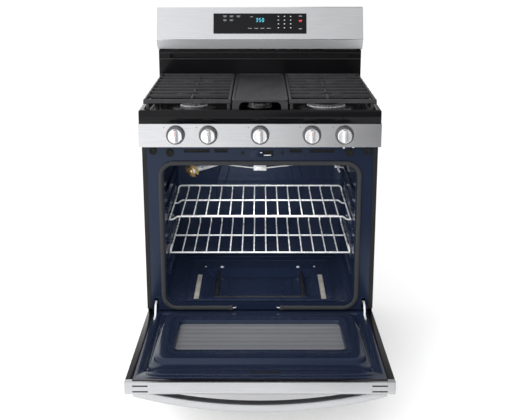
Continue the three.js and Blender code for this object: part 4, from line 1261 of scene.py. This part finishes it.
def screw_head(mould, place, normal, radius=0.004, tall=0.0022, mark=0):
    """A pan-head screw with a cross recess, standing on a surface."""
    out = Vector(normal).normalized()
    across = out.orthogonal().normalized()
    other = out.cross(across)
    turns = [2 * math.pi * k / 16 for k in range(16)]
    spokes = [across * math.cos(a) + other * math.sin(a) for a in turns]
    rings = []
    for share, lift in ((1.0, -0.0002), (1.0, 0.25), (0.9, 0.62), (0.62, 0.9), (0.3, 1.0)):
        height = lift * tall if lift > 0 else lift
        rings.append([Vector(place) + spoke * radius * share + out * height for spoke in spokes])
    recess = [0.26 if k % 4 == 0 else 0.08 for k in range(16)]
    rings.append([
        Vector(place) + spoke * radius * share + out * tall * 0.55
        for spoke, share in zip(spokes, recess)
    ])
    mould.loft(rings, mark=mark)


def broiler():
    """A flat broil burner under the roof, its bright mixing tube, air shutter and bracket."""
    tray = Mould()
    base = CAVITY_ROOF - 0.027
    tray.slab((-0.16, 0.082, base), (0.16, 0.352, CAVITY_ROOF - 0.011), 0.004, 2)
    for k in range(9):
        x = -0.12 + k * 0.03
        tray.slab((x - 0.004, 0.12, base - 0.0015), (x + 0.004, 0.315, base + 0.001), 0.001, 2)
    tray.slab((-0.04, 0.132, CAVITY_ROOF - 0.014), (0.04, 0.302, CAVITY_ROOF - 0.0004), 0.001, 2)
    tray.make("broil_burner_tray", "range_body", "galvanised", TUBE_STEEL, replaces=("broil_burner",))
    start = Vector((-0.128, FRONT + 0.148, CAVITY_ROOF - 0.026))
    end = Vector((-0.222, FRONT + 0.116, CAVITY_ROOF - 0.047))
    tube = Mould()
    along = (end - start).normalized()
    tube.tube([start, end - along * 0.03, end - along * 0.012, end], 0.0095, 20)
    tube.tube([end - along * 0.016, end - along * 0.004, end + along * 0.0002], 0.0112, 24)
    tube.tube(
        [start + Vector((0.004, -0.02, 0.006)), start + along * 0.075 + Vector((0.004, -0.02, 0.002))],
        0.0032, 10,
    )
    tube.make("broil_mixing_tube", "range_body", "galvanised", CHROME)
    shutter = Mould()
    along = Vector((-0.42, -0.85, -0.3)).normalized()
    across = along.orthogonal().normalized()
    other = along.cross(across)
    rings = []
    for lift, grow in ((0.0004, 0.98), (0.001, 1.0), (0.0024, 1.0), (0.003, 0.98)):
        ring = []
        for k in range(72):
            a = 2 * math.pi * k / 72
            petal = 1 - 0.34 * (math.cos(4 * a) > 0.62)
            radius = 0.0245 * petal * grow
            ring.append(end + along * lift + (across * math.cos(a) + other * math.sin(a)) * radius)
        rings.append(ring)
    shutter.loft(rings)
    screw_head(shutter, end + along * 0.003 + across * 0.014, along, 0.0035, 0.003)
    shutter.lathe_along(
        end + along * 0.003, along, [(0.0075, 0), (0.0075, 0.008), (0.005, 0.0095), (0.0015, 0.0095)],
    )
    shutter.make("broil_shutter_disc", "range_body", "zinc_plate", ZINC, replaces=("broil_air_shutter",))
    bracket = Mould()
    near = FRONT + 0.084
    bracket.slab((-0.021, near, CAVITY_ROOF - 0.041), (0.021, near + 0.012, CAVITY_ROOF - 0.0004), 0.002, 1)
    bracket.slab(
        (-0.014, near - 0.002, CAVITY_ROOF - 0.036), (0.014, near + 0.002, CAVITY_ROOF - 0.026), 0.001, 1,
    )
    bracket.slab((-0.021, near + 0.004, CAVITY_ROOF - 0.02), (0.021, 0.084, CAVITY_ROOF - 0.014), 0.001, 1)
    for side in (-1, 1):
        screw_head(bracket, (side * 0.0165, near, CAVITY_ROOF - 0.031), (0, -1, 0), 0.0024, 0.0015)
        path = [
            (side * 0.15, 0.083, CAVITY_ROOF - 0.016), (side * 0.15, near + 0.009, CAVITY_ROOF - 0.019),
            (side * 0.08, near + 0.007, CAVITY_ROOF - 0.0255),
            (side * 0.015, near + 0.006, CAVITY_ROOF - 0.033),
        ]
        bracket.tube(bent(path, 0.008), 0.0022, 10)
    bracket.make("broil_bracket", "range_body", "rack_chrome", CHROME)


def probe_and_lamp():
    low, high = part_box("temperature_probe")
    x, z = (low.x + high.x) / 2, low.z + 0.012
    mould = Mould()
    mould.tube([(x, high.y, z), (x, low.y + 0.004, z), (x, low.y, z)], 0.0029, 14)
    mould.slab((x - 0.009, high.y - 0.0015, z - 0.012), (x + 0.009, high.y, z + 0.009), 0.0007, 1)
    hook = [
        (x - 0.003, low.y + 0.035, z - 0.003), (x - 0.003, low.y + 0.035, z + 0.007),
        (x + 0.010, low.y + 0.035, z + 0.009),
        (x + 0.018, low.y + 0.035, z + 0.004),
    ]
    mould.tube(bent(hook, 0.004), 0.0016, 8)
    for side in (-1, 1):
        screw_head(mould, (x + side * 0.006, high.y - 0.0015, z - 0.009), (0, -1, 0), 0.0022, 0.0014)
    mould.make("temperature_probe_rod", "range_body", "rack_chrome", CHROME, replaces=("temperature_probe",))
    low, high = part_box("oven_lamp")
    centre = ((low.x + high.x) / 2, high.y, (low.z + high.z) / 2)
    lamp = Mould()
    radius, tall = (high.x - low.x) / 2, high.y - low.y
    profile = [(radius, 0.0), (radius, 0.005), (radius - 0.003, 0.0072), (radius - 0.0045, 0.0074)]
    for k in range(1, 8):
        a = math.radians(90 * k / 8)
        profile.append(((radius - 0.0045) * math.cos(a), 0.0074 + (tall - 0.0074) * math.sin(a)))
    lamp.lathe(profile, centre, "y", 48, ripple=lambda level, k: 0.985 if level > 3 and k % 4 < 2 else 1)
    lamp.make("oven_lamp_dome", "range_body", "lamp_glass", LAMP, replaces=("oven_lamp",), sharp=60)


def gasket():
    """A braided seal around the mouth, its two ends pinched by bright clips at the bottom."""
    low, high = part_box("door_gasket")
    wide = 0.015
    half, bottom, top = high.x - wide / 2, low.z + wide / 2, high.z - wide / 2
    y, corner = (low.y + high.y) / 2, 0.0445
    loop = outline(-half, half, bottom, top, corner, 12)
    start = [p for p in loop if p[1] < bottom + 1e-6 and p[0] > 0][-1]
    turn = loop.index(start)
    run = loop[turn:] + loop[:turn]
    gap_left, gap_right = -0.097, 0.073
    path = [(gap_right, bottom)] + run + [(gap_left, bottom)]
    dense = []
    for (x0, z0), (x1, z1) in zip(path, path[1:]):
        steps = max(1, round(math.hypot(x1 - x0, z1 - z0) / 0.006))
        dense += [(x0 + (x1 - x0) * k / steps, z0 + (z1 - z0) * k / steps) for k in range(steps)]
    dense.append(path[-1])
    mould = Mould()
    points = [Vector((x, y, z)) for x, z in dense]
    rings = []
    for i, point in enumerate(points):
        before, after = points[max(i - 1, 0)], points[min(i + 1, len(points) - 1)]
        along = (after - before).normalized()
        across = along.cross(Vector((0, 1, 0))).normalized()
        ends = min(i, len(points) - 1 - i)
        swell = 1 + 0.025 * math.sin(i * 1.9) + 0.02 * math.sin(i * 0.73)
        wide_now = 0.0072 * swell * (0.72 if ends == 0 else 1)
        tall_now = 0.0046 * swell * (0.5 if ends == 0 else 1)
        ring = []
        for k in range(14):
            a = 2 * math.pi * k / 14
            ring.append(point + across * wide_now * math.cos(a) + Vector((0, 1, 0)) * tall_now * math.sin(a))
        rings.append(ring)
    mould.loft(rings)
    for x, way in ((gap_left, 1), (gap_right, -1)):
        mould.slab(
            (x - 0.006, y - 0.0049, bottom - 0.0076), (x + 0.006, y + 0.0046, bottom + 0.0076), 0.002, 0,
        )
        mould.tube(
            bent(
                [(x, y, bottom), (x + way * 0.012, y - 0.001, bottom), (x + way * 0.016, y + 0.004, bottom)],
                0.004,
            ),
            0.0016, 8, mark=1,
        )
    mould.make(
        "door_gasket_braid", "range_body", "gasket_cloth", CLOTH, CHROME, replaces=("door_gasket",), sharp=70,
    )


def face_details():
    """Rubber bumpers, screws and the latch hook on the oven's face."""
    face = FACE
    bumpers = Mould()
    for x, z in ((-0.2886, 0.767), (0.2856, 0.767), (0.343, 0.773), (-0.343, 0.773)):
        profile = [
            (0.0125, 0), (0.013, 0.001), (0.0125, 0.0035), (0.0095, 0.0045), (0.006, 0.0032), (0.0015, 0.003),
        ]
        bumpers.lathe(profile, (x, face, z), "y", 32)
    bumpers.make("door_bumpers", "range_body", "black_paint", RUBBER)
    screws = Mould()
    for x, z in ((0.268, 0.7835), (0.298, 0.7855)):
        screw_head(screws, (x, face, z), (0, -1, 0), 0.0036, 0.0018)
    screws.slab((0.012, face - 0.0025, 0.7575), (0.036, face + 0.004, 0.7605), 0.001, 1)
    screws.slab((0.0, face - 0.001, 0.7655), (0.008, face + 0.004, 0.7685), 0.001, 1)
    screws.make("face_screws", "range_body", "rack_chrome", CHROME)
    # Two small dark discs, and a black sheet just in front of the blanket that is painted shade behind the
    # face's slots.
    dark = Mould()
    for x in (-0.055, 0.072):
        dark.lathe(
            [(0.0052, -0.0004), (0.0052, 0.0006), (0.004, 0.001), (0.002, 0.0004)],
            (x, face, 0.7665), "y", 20,
        )
    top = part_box("front_frame")[1].z
    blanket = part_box("insulation_blanket")[0].y
    dark.slab((-0.30, blanket - 0.0012, 0.748), (0.30, blanket - 0.0002, top - 0.004), 0.0004, 1)
    dark.make("face_dark_discs_and_slot_shade", "range_body", "black_paint", RUBBER)
    plate = Mould()
    plate.slab((-0.031, face - 0.0006, 0.7535), (0.010, face + 0.0006, 0.7755), 0.0004, 1)
    plate.make("latch_plate", "range_body", "oven_enamel", NAVY)


# ------------------------------------------------------------------ door

RIM = door_box("door_liner")
SKIN = door_box("door_skin")
SKIN_FRONT, SKIN_TOP, SKIN_LOW = SKIN[0].y, SKIN[1].z, SKIN[0].z
RIM_TOP = SKIN[1].y  # level of the liner's rim


def door_liner():
    """The pressed inner panel: rim, U channel, raised field and a well around the window."""
    low, high = RIM
    outer = high.x
    field = high.y
    glass_low, glass_high = door_box("door_inner_glass")
    half, z0, z1 = glass_high.x - 0.010, glass_low.z + 0.010, glass_high.z - 0.010
    channel_half, channel_low, channel_high = outer - 0.022, 0.005, SKIN_TOP - 0.079
    field_half, field_low, field_high, corner = outer - 0.0447, 0.024, SKIN_TOP - 0.150, 0.035
    sunk = RIM_TOP - 0.008
    levels = [
        (outer, low.z, high.z, RIM_TOP - 0.0008, 0.002),
        (outer - 0.0006, low.z + 0.0006, high.z - 0.0006, RIM_TOP, 0.002),
        (channel_half + 0.004, channel_low - 0.004, channel_high + 0.004, RIM_TOP, 0.016),
        (channel_half + 0.001, channel_low - 0.001, channel_high + 0.001, RIM_TOP - 0.0014, 0.014),
        (channel_half - 0.002, channel_low + 0.002, channel_high - 0.002, sunk + 0.0012, 0.013),
        (channel_half - 0.004, channel_low + 0.004, channel_high - 0.004, sunk, 0.012),
        (field_half + 0.006, field_low - 0.006, field_high + 0.006, sunk, corner + 0.006),
        (field_half + 0.003, field_low - 0.003, field_high + 0.003, sunk + 0.0018, corner + 0.003),
        (field_half, field_low, field_high, field - 0.004, corner),
        (field_half - 0.0015, field_low + 0.0015, field_high - 0.0015, field - 0.0012, corner),
        (field_half - 0.0045, field_low + 0.0045, field_high - 0.0045, field, corner),
        (half + 0.009, z0 - 0.009, z1 + 0.009, field, 0.024),
        (half + 0.004, z0 - 0.004, z1 + 0.004, field - 0.0012, 0.02),
        (half + 0.001, z0 - 0.001, z1 + 0.001, field - 0.006, 0.017),
        (half, z0, z1, glass_high.y + 0.0004, 0.016),
    ]
    rings = []
    for width, bottom, top, y, radius in levels:
        flat = outline(-width, width, bottom, top, radius, 8)
        rings.append([Vector((x, y, z)) for x, z in flat])
    mould = Mould()
    mould.loft(rings, caps=(False, False))
    mould.make(
        "door_inner_panel", "door", "oven_enamel", NAVY, replaces=("door_liner",), place=DOOR_PLACE, sharp=40,
    )
    ribs = Mould()
    up = (0, 1, 0)
    for z, wide, proud in ((SKIN_TOP - 0.064, 0.02, 0.0022), (SKIN_TOP - 0.038, 0.012, 0.0018)):
        rib(
            ribs,
            [
                (-channel_half + 0.01, RIM_TOP, z), (-0.3, RIM_TOP, z),
                (0.3, RIM_TOP, z), (channel_half - 0.01, RIM_TOP, z),
            ],
            wide, proud, up,
        )
    for side in (-1, 1):
        for z in (channel_high - 0.012, channel_high - 0.03):
            x = side * (channel_half - 0.012)
            rib(ribs, [(x, sunk, z - 0.006), (x, sunk, z + 0.006)], 0.010, 0.004, up)
        x = side * (channel_half - 0.011)
        rib(ribs, [(x, sunk, 0.05), (x, sunk, 0.2), (x, sunk, channel_high - 0.07)], 0.006, 0.0025, up)
    ribs.make("door_panel_ribs", "door", "oven_enamel", NAVY, place=DOOR_PLACE, sharp=60)
    # A black slab stands for the latch notch in the rim: painted shade for the opening.
    notch = Mould()
    notch.slab((-0.028, RIM_TOP - 0.0002, 0.497), (0.060, RIM_TOP + 0.0026, 0.508), 0.001, 1)
    notch.make("door_latch_notch_shade", "door", "black_paint", RUBBER, place=DOOR_PLACE)


def door_edges():
    """Black side strips, black plates under the cap's air slots that are painted shade for the door's dark
    inside, and the screws on the rim.
    """
    outer, inner = SKIN[1].x, RIM[1].x
    strips = Mould()
    for side in (-1, 1):
        x0, x1 = sorted((side * (inner + 0.0004), side * (outer - 0.0004)))
        strips.slab(
            (x0, RIM_TOP - 0.0002, SKIN_LOW + 0.001), (x1, RIM_TOP + 0.0007, SKIN_TOP - 0.0232), 0.0004, 1,
        )
    strips.slab(
        (-inner, RIM_TOP - 0.0002, RIM[1].z + 0.0006), (inner, RIM_TOP + 0.0007, SKIN_TOP - 0.010), 0.0004, 1,
    )
    strips.make("door_edge_strips", "door", "black_enamel", ENAMEL, place=DOOR_PLACE)
    # Black plates under the cap's air slots: painted shade for the dark inside of the door.
    shades = Mould()
    for side in (-1, 1):
        for out in (0.0088, 0.0256):
            x0, x1 = sorted((side * (outer - 0.067), side * (outer - 0.020)))
            y1 = RIM_TOP - out
            shades.slab((x0, y1 - 0.006, SKIN_TOP - 0.0145), (x1, y1 + 0.002, SKIN_TOP - 0.0025), 0.0008, 1)
    shades.make("door_slot_painted_shade", "door", "black_paint", RUBBER, place=DOOR_PLACE)
    screws = Mould()
    for side in (-1, 1):
        for z in (0.09, 0.27, 0.45):
            screw_head(screws, (side * (RIM[1].x - 0.009), RIM_TOP, z), (0, 1, 0), 0.0034, 0.002)
    screws.make("door_rim_screws", "door", "black_paint", PAINT, place=DOOR_PLACE)


def door_handle():
    """A shallow bow swept along an arc: bright outside, and on the side that faces the door a painted shade,
    a dark copy of the steel.
    """
    low, high = door_box("door_handle")
    half, standoff, end_standoff = high.x, SKIN_FRONT - low.y, 0.018
    thick, tall, middle = 0.028, high.z - low.z, (low.z + high.z) / 2
    sagitta = standoff - end_standoff
    radius = (half ** 2 + sagitta ** 2) / (2 * sagitta)
    centre = low.y + radius
    reach = math.asin(half / radius)
    seat = high.y
    count = 56
    sides = 24
    outer = Mould()
    sections = []
    for i in range(count + 1):
        turn = -reach + 2 * reach * i / count
        out = Vector((math.sin(turn), -math.cos(turn), 0))
        front = Vector((0, centre, 0)) + out * radius
        deep = min(thick, (seat - front.y) / max(-out.y, 1e-6))
        ends = 1 - max(0, (abs(turn) / reach - 0.985) / 0.015) * 0.12
        flat = outline(0.0003, deep, -tall / 2 * ends, tall / 2 * ends, 0.0062, sides // 4 - 1)
        sections.append([front - out * u + Vector((0, 0, middle + v)) for u, v in flat])
    outer.loft(sections)
    per_ring = len(sections[0])
    quarter = per_ring // 4
    # The faces on the side towards the door take the dark copy of the steel: painted shade.
    outer.marks = [
        1 if f < count * per_ring and quarter // 2 <= (f % per_ring) < quarter + quarter // 2 + 1 else 0
        for f in range(len(outer.faces))
    ]
    outer.make(
        "door_handle_bow", "door", "stainless", DOOR_STEEL_PAINTED_SHADE, BAR_PAINTED_SHADE, replaces=("door_handle",),
        place=DOOR_PLACE, sharp=50,
    )


# ------------------------------------------------------------------ body


def legs():
    """Four levelling legs: a rubber-edged foot under a rolled thread."""
    for _, hand in SIDES:
        for end in ("front", "rear"):
            node = f"level_leg_{end}_{hand}"
            low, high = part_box(node)
            x, y, radius = (low.x + high.x) / 2, (low.y + high.y) / 2, (high.x - low.x) / 2
            foot = Mould()
            profile = [
                (radius - 0.002, 0), (radius, 0.001), (radius, 0.005), (radius - 0.001, 0.0066),
                (radius - 0.005, 0.0082),
                (0.0095, 0.0095), (0.009, 0.0125), (0.006, 0.0128),
            ]
            foot.lathe(profile, (x, y, low.z), steps=40)
            thread = [(0.0058, 0.0126)]
            z = 0.0135
            while z < high.z - 0.0016:
                thread += [(0.006, z), (0.0052, z + 0.0007)]
                z += 0.0014
            thread.append((0.0058, high.z - 0.0004))
            foot.lathe(thread, (x, y, 0), steps=24, mark=1)
            foot.make(node + "_threaded", "range_body", "leg_steel", RUBBER, GALVANISED, replaces=(node,))


def body_screws():
    """Screws along the edges of the backguard's rear cover."""
    mould = Mould()
    guard_low, guard_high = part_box("backguard_rear")
    for x in (-0.355, -0.18, 0.0, 0.18, 0.355):
        for z in (guard_low.z + 0.018, guard_high.z - 0.018):
            screw_head(mould, (x, guard_high.y, z), (0, 1, 0), 0.004, 0.0016)
    mould.make("rear_screws", "range_body", "black_paint", GALVANISED)


def sky(tree, direction, steps):
    """Brightness over the left-to-right part of a direction, as a colour."""
    spread = tree.nodes.new("ShaderNodeMapRange")
    for key, value in (("From Min", -0.5), ("From Max", 0.5)):
        spread.inputs[key].default_value = value
    tree.links.new(direction, spread.inputs["Value"])
    ramp = tree.nodes.new("ShaderNodeValToRGB")
    ramp.color_ramp.interpolation = "EASE"
    ramp.color_ramp.elements[0].position = 0.0
    ramp.color_ramp.elements[0].color = (steps[0][1],) * 3 + (1,)
    ramp.color_ramp.elements[1].position = 1.0
    ramp.color_ramp.elements[1].color = (steps[-1][1],) * 3 + (1,)
    for place, value in steps[1:-1]:
        ramp.color_ramp.elements.new(place).color = (value, value, value * 1.015, 1)
    tree.links.new(spread.outputs["Result"], ramp.inputs["Fac"])
    return ramp.outputs["Color"]


def studio():
    """Plain pale floor, a white world that is dimmer on the right, and soft lights."""
    world = bpy.data.worlds.new("studio")
    scene.world = world
    world.use_nodes = True
    tree = world.node_tree
    tree.nodes.clear()
    links = tree.links
    output = tree.nodes.new("ShaderNodeOutputWorld")
    seen = tree.nodes.new("ShaderNodeBackground")
    lit = tree.nodes.new("ShaderNodeBackground")
    seen.inputs["Color"].default_value = (1, 1, 1, 1)
    seen.inputs["Strength"].default_value = 1.05
    lit.inputs["Strength"].default_value = 1.0
    place = tree.nodes.new("ShaderNodeTexCoord")
    split = tree.nodes.new("ShaderNodeSeparateXYZ")
    links.new(place.outputs["Generated"], split.inputs["Vector"])
    height = tree.nodes.new("ShaderNodeMapRange")
    for key, value in (("From Min", 0.05), ("From Max", 0.4)):
        height.inputs[key].default_value = value
    links.new(split.outputs["Z"], height.inputs["Value"])
    blend = tree.nodes.new("ShaderNodeMixRGB")
    links.new(height.outputs["Result"], blend.inputs["Fac"])
    links.new(sky(tree, split.outputs["X"], LOW_SKY), blend.inputs[1])
    links.new(sky(tree, split.outputs["X"], HIGH_SKY), blend.inputs[2])
    links.new(blend.outputs["Color"], lit.inputs["Color"])
    mix = tree.nodes.new("ShaderNodeMixShader")
    path = tree.nodes.new("ShaderNodeLightPath")
    links.new(path.outputs["Is Camera Ray"], mix.inputs["Fac"])
    links.new(lit.outputs["Background"], mix.inputs[1])
    links.new(seen.outputs["Background"], mix.inputs[2])
    links.new(mix.outputs["Shader"], output.inputs["Surface"])
    floor_mesh = bpy.data.meshes.new("floor")
    side, front, rear = 1.7, -1.3, 1.6
    floor_mesh.from_pydata(
        [(-side, front, 0), (side, front, 0), (side, rear, 0), (-side, rear, 0)], [], [(0, 1, 2, 3)],
    )
    floor = bpy.data.objects.new("floor", floor_mesh)
    scene.collection.objects.link(floor)
    paper = Finish("floor_paper", (0.7, 0.7, 0.7), 0.7, Emission_Color=(1, 1, 1, 1), Emission_Strength=0.36)
    paper.gloss(paper.noise(3.0), 0.62, 0.78)
    floor_mesh.materials.append(paper.material)
    for name, place, target, size, power in LAMPS:
        data = bpy.data.lights.new(name, "AREA")
        data.size = size
        data.energy = power
        lamp = bpy.data.objects.new(name, data)
        lamp.location = place
        lamp.rotation_mode = "QUATERNION"
        lamp.rotation_quaternion = (Vector(target) - Vector(place)).to_track_quat("-Z", "Y")
        lamp.visible_camera = False
        lamp.visible_glossy = False
        scene.collection.objects.link(lamp)


LOW_SKY = ((0, 1.25), (0.38, 1.25), (0.47, 1.2), (0.52, 0.98), (0.57, 0.3), (0.63, 0.12), (1, 0.2))
HIGH_SKY = ((0, 1.2), (0.4, 1.15), (0.5, 0.92), (0.6, 0.62), (1, 0.55))
# oven_glow stands for the light that reaches the cavity. It can't be seen or reflected.
LAMPS = (
    ("key_left", (-2.0, -2.6, 2.4), (0, 0, 0.6), 1.6, 55),
    ("top", (0.0, -0.6, 3.2), (0, 0, 0), 2.2, 22),
    ("oven_glow", (0, 0.12, 0.64), (0, 0.24, 0.3), 0.3, 2.2),
    ("fill_front", (-0.3, -3.0, 1.2), (0, 0, 0.45), 1.4, 60),
)


def camera():
    data = bpy.data.cameras.new("camera")
    data.sensor_width = 36
    data.lens = 65.6
    made = bpy.data.objects.new("camera", data)
    made.location = (0, -2.976, 1.441)
    made.rotation_euler = (math.radians(90 - 16.28), 0, 0)
    scene.collection.objects.link(made)
    scene.camera = made
    scene.view_settings.view_transform = "Standard"


# ------------------------------------------------------------------ everything

INDICATOR = print_ink("indicator", (0.45, 0.2, 0.18))
INK = print_ink("panel_ink", (0.04, 0.04, 0.045))

carried_nodes()
oven_rack("rack_lower", "lower_rack", 0.53)
oven_rack("rack_upper", "upper_rack", 0.56, 0.0105)
cooktop()
SPOTS = [burner(name) for name in ("left_front", "left_rear", "right_front", "right_rear")]
centre_burner()
burner_seats(SPOTS)
igniters(SPOTS)
for hand_side, hand_name in SIDES:
    grate(hand_side, hand_name, SPOTS)
griddle()
for knob_index in range(1, 6):
    knob(knob_index)
panel_marks()
backguard()
display_print()
vent_louvre()
oven_cavity()
wall_ribs()
back_emboss()
floor_panel()
broiler()
probe_and_lamp()
gasket()
face_details()
door_liner()
door_edges()
door_handle()
legs()
body_screws()
studio()
camera()
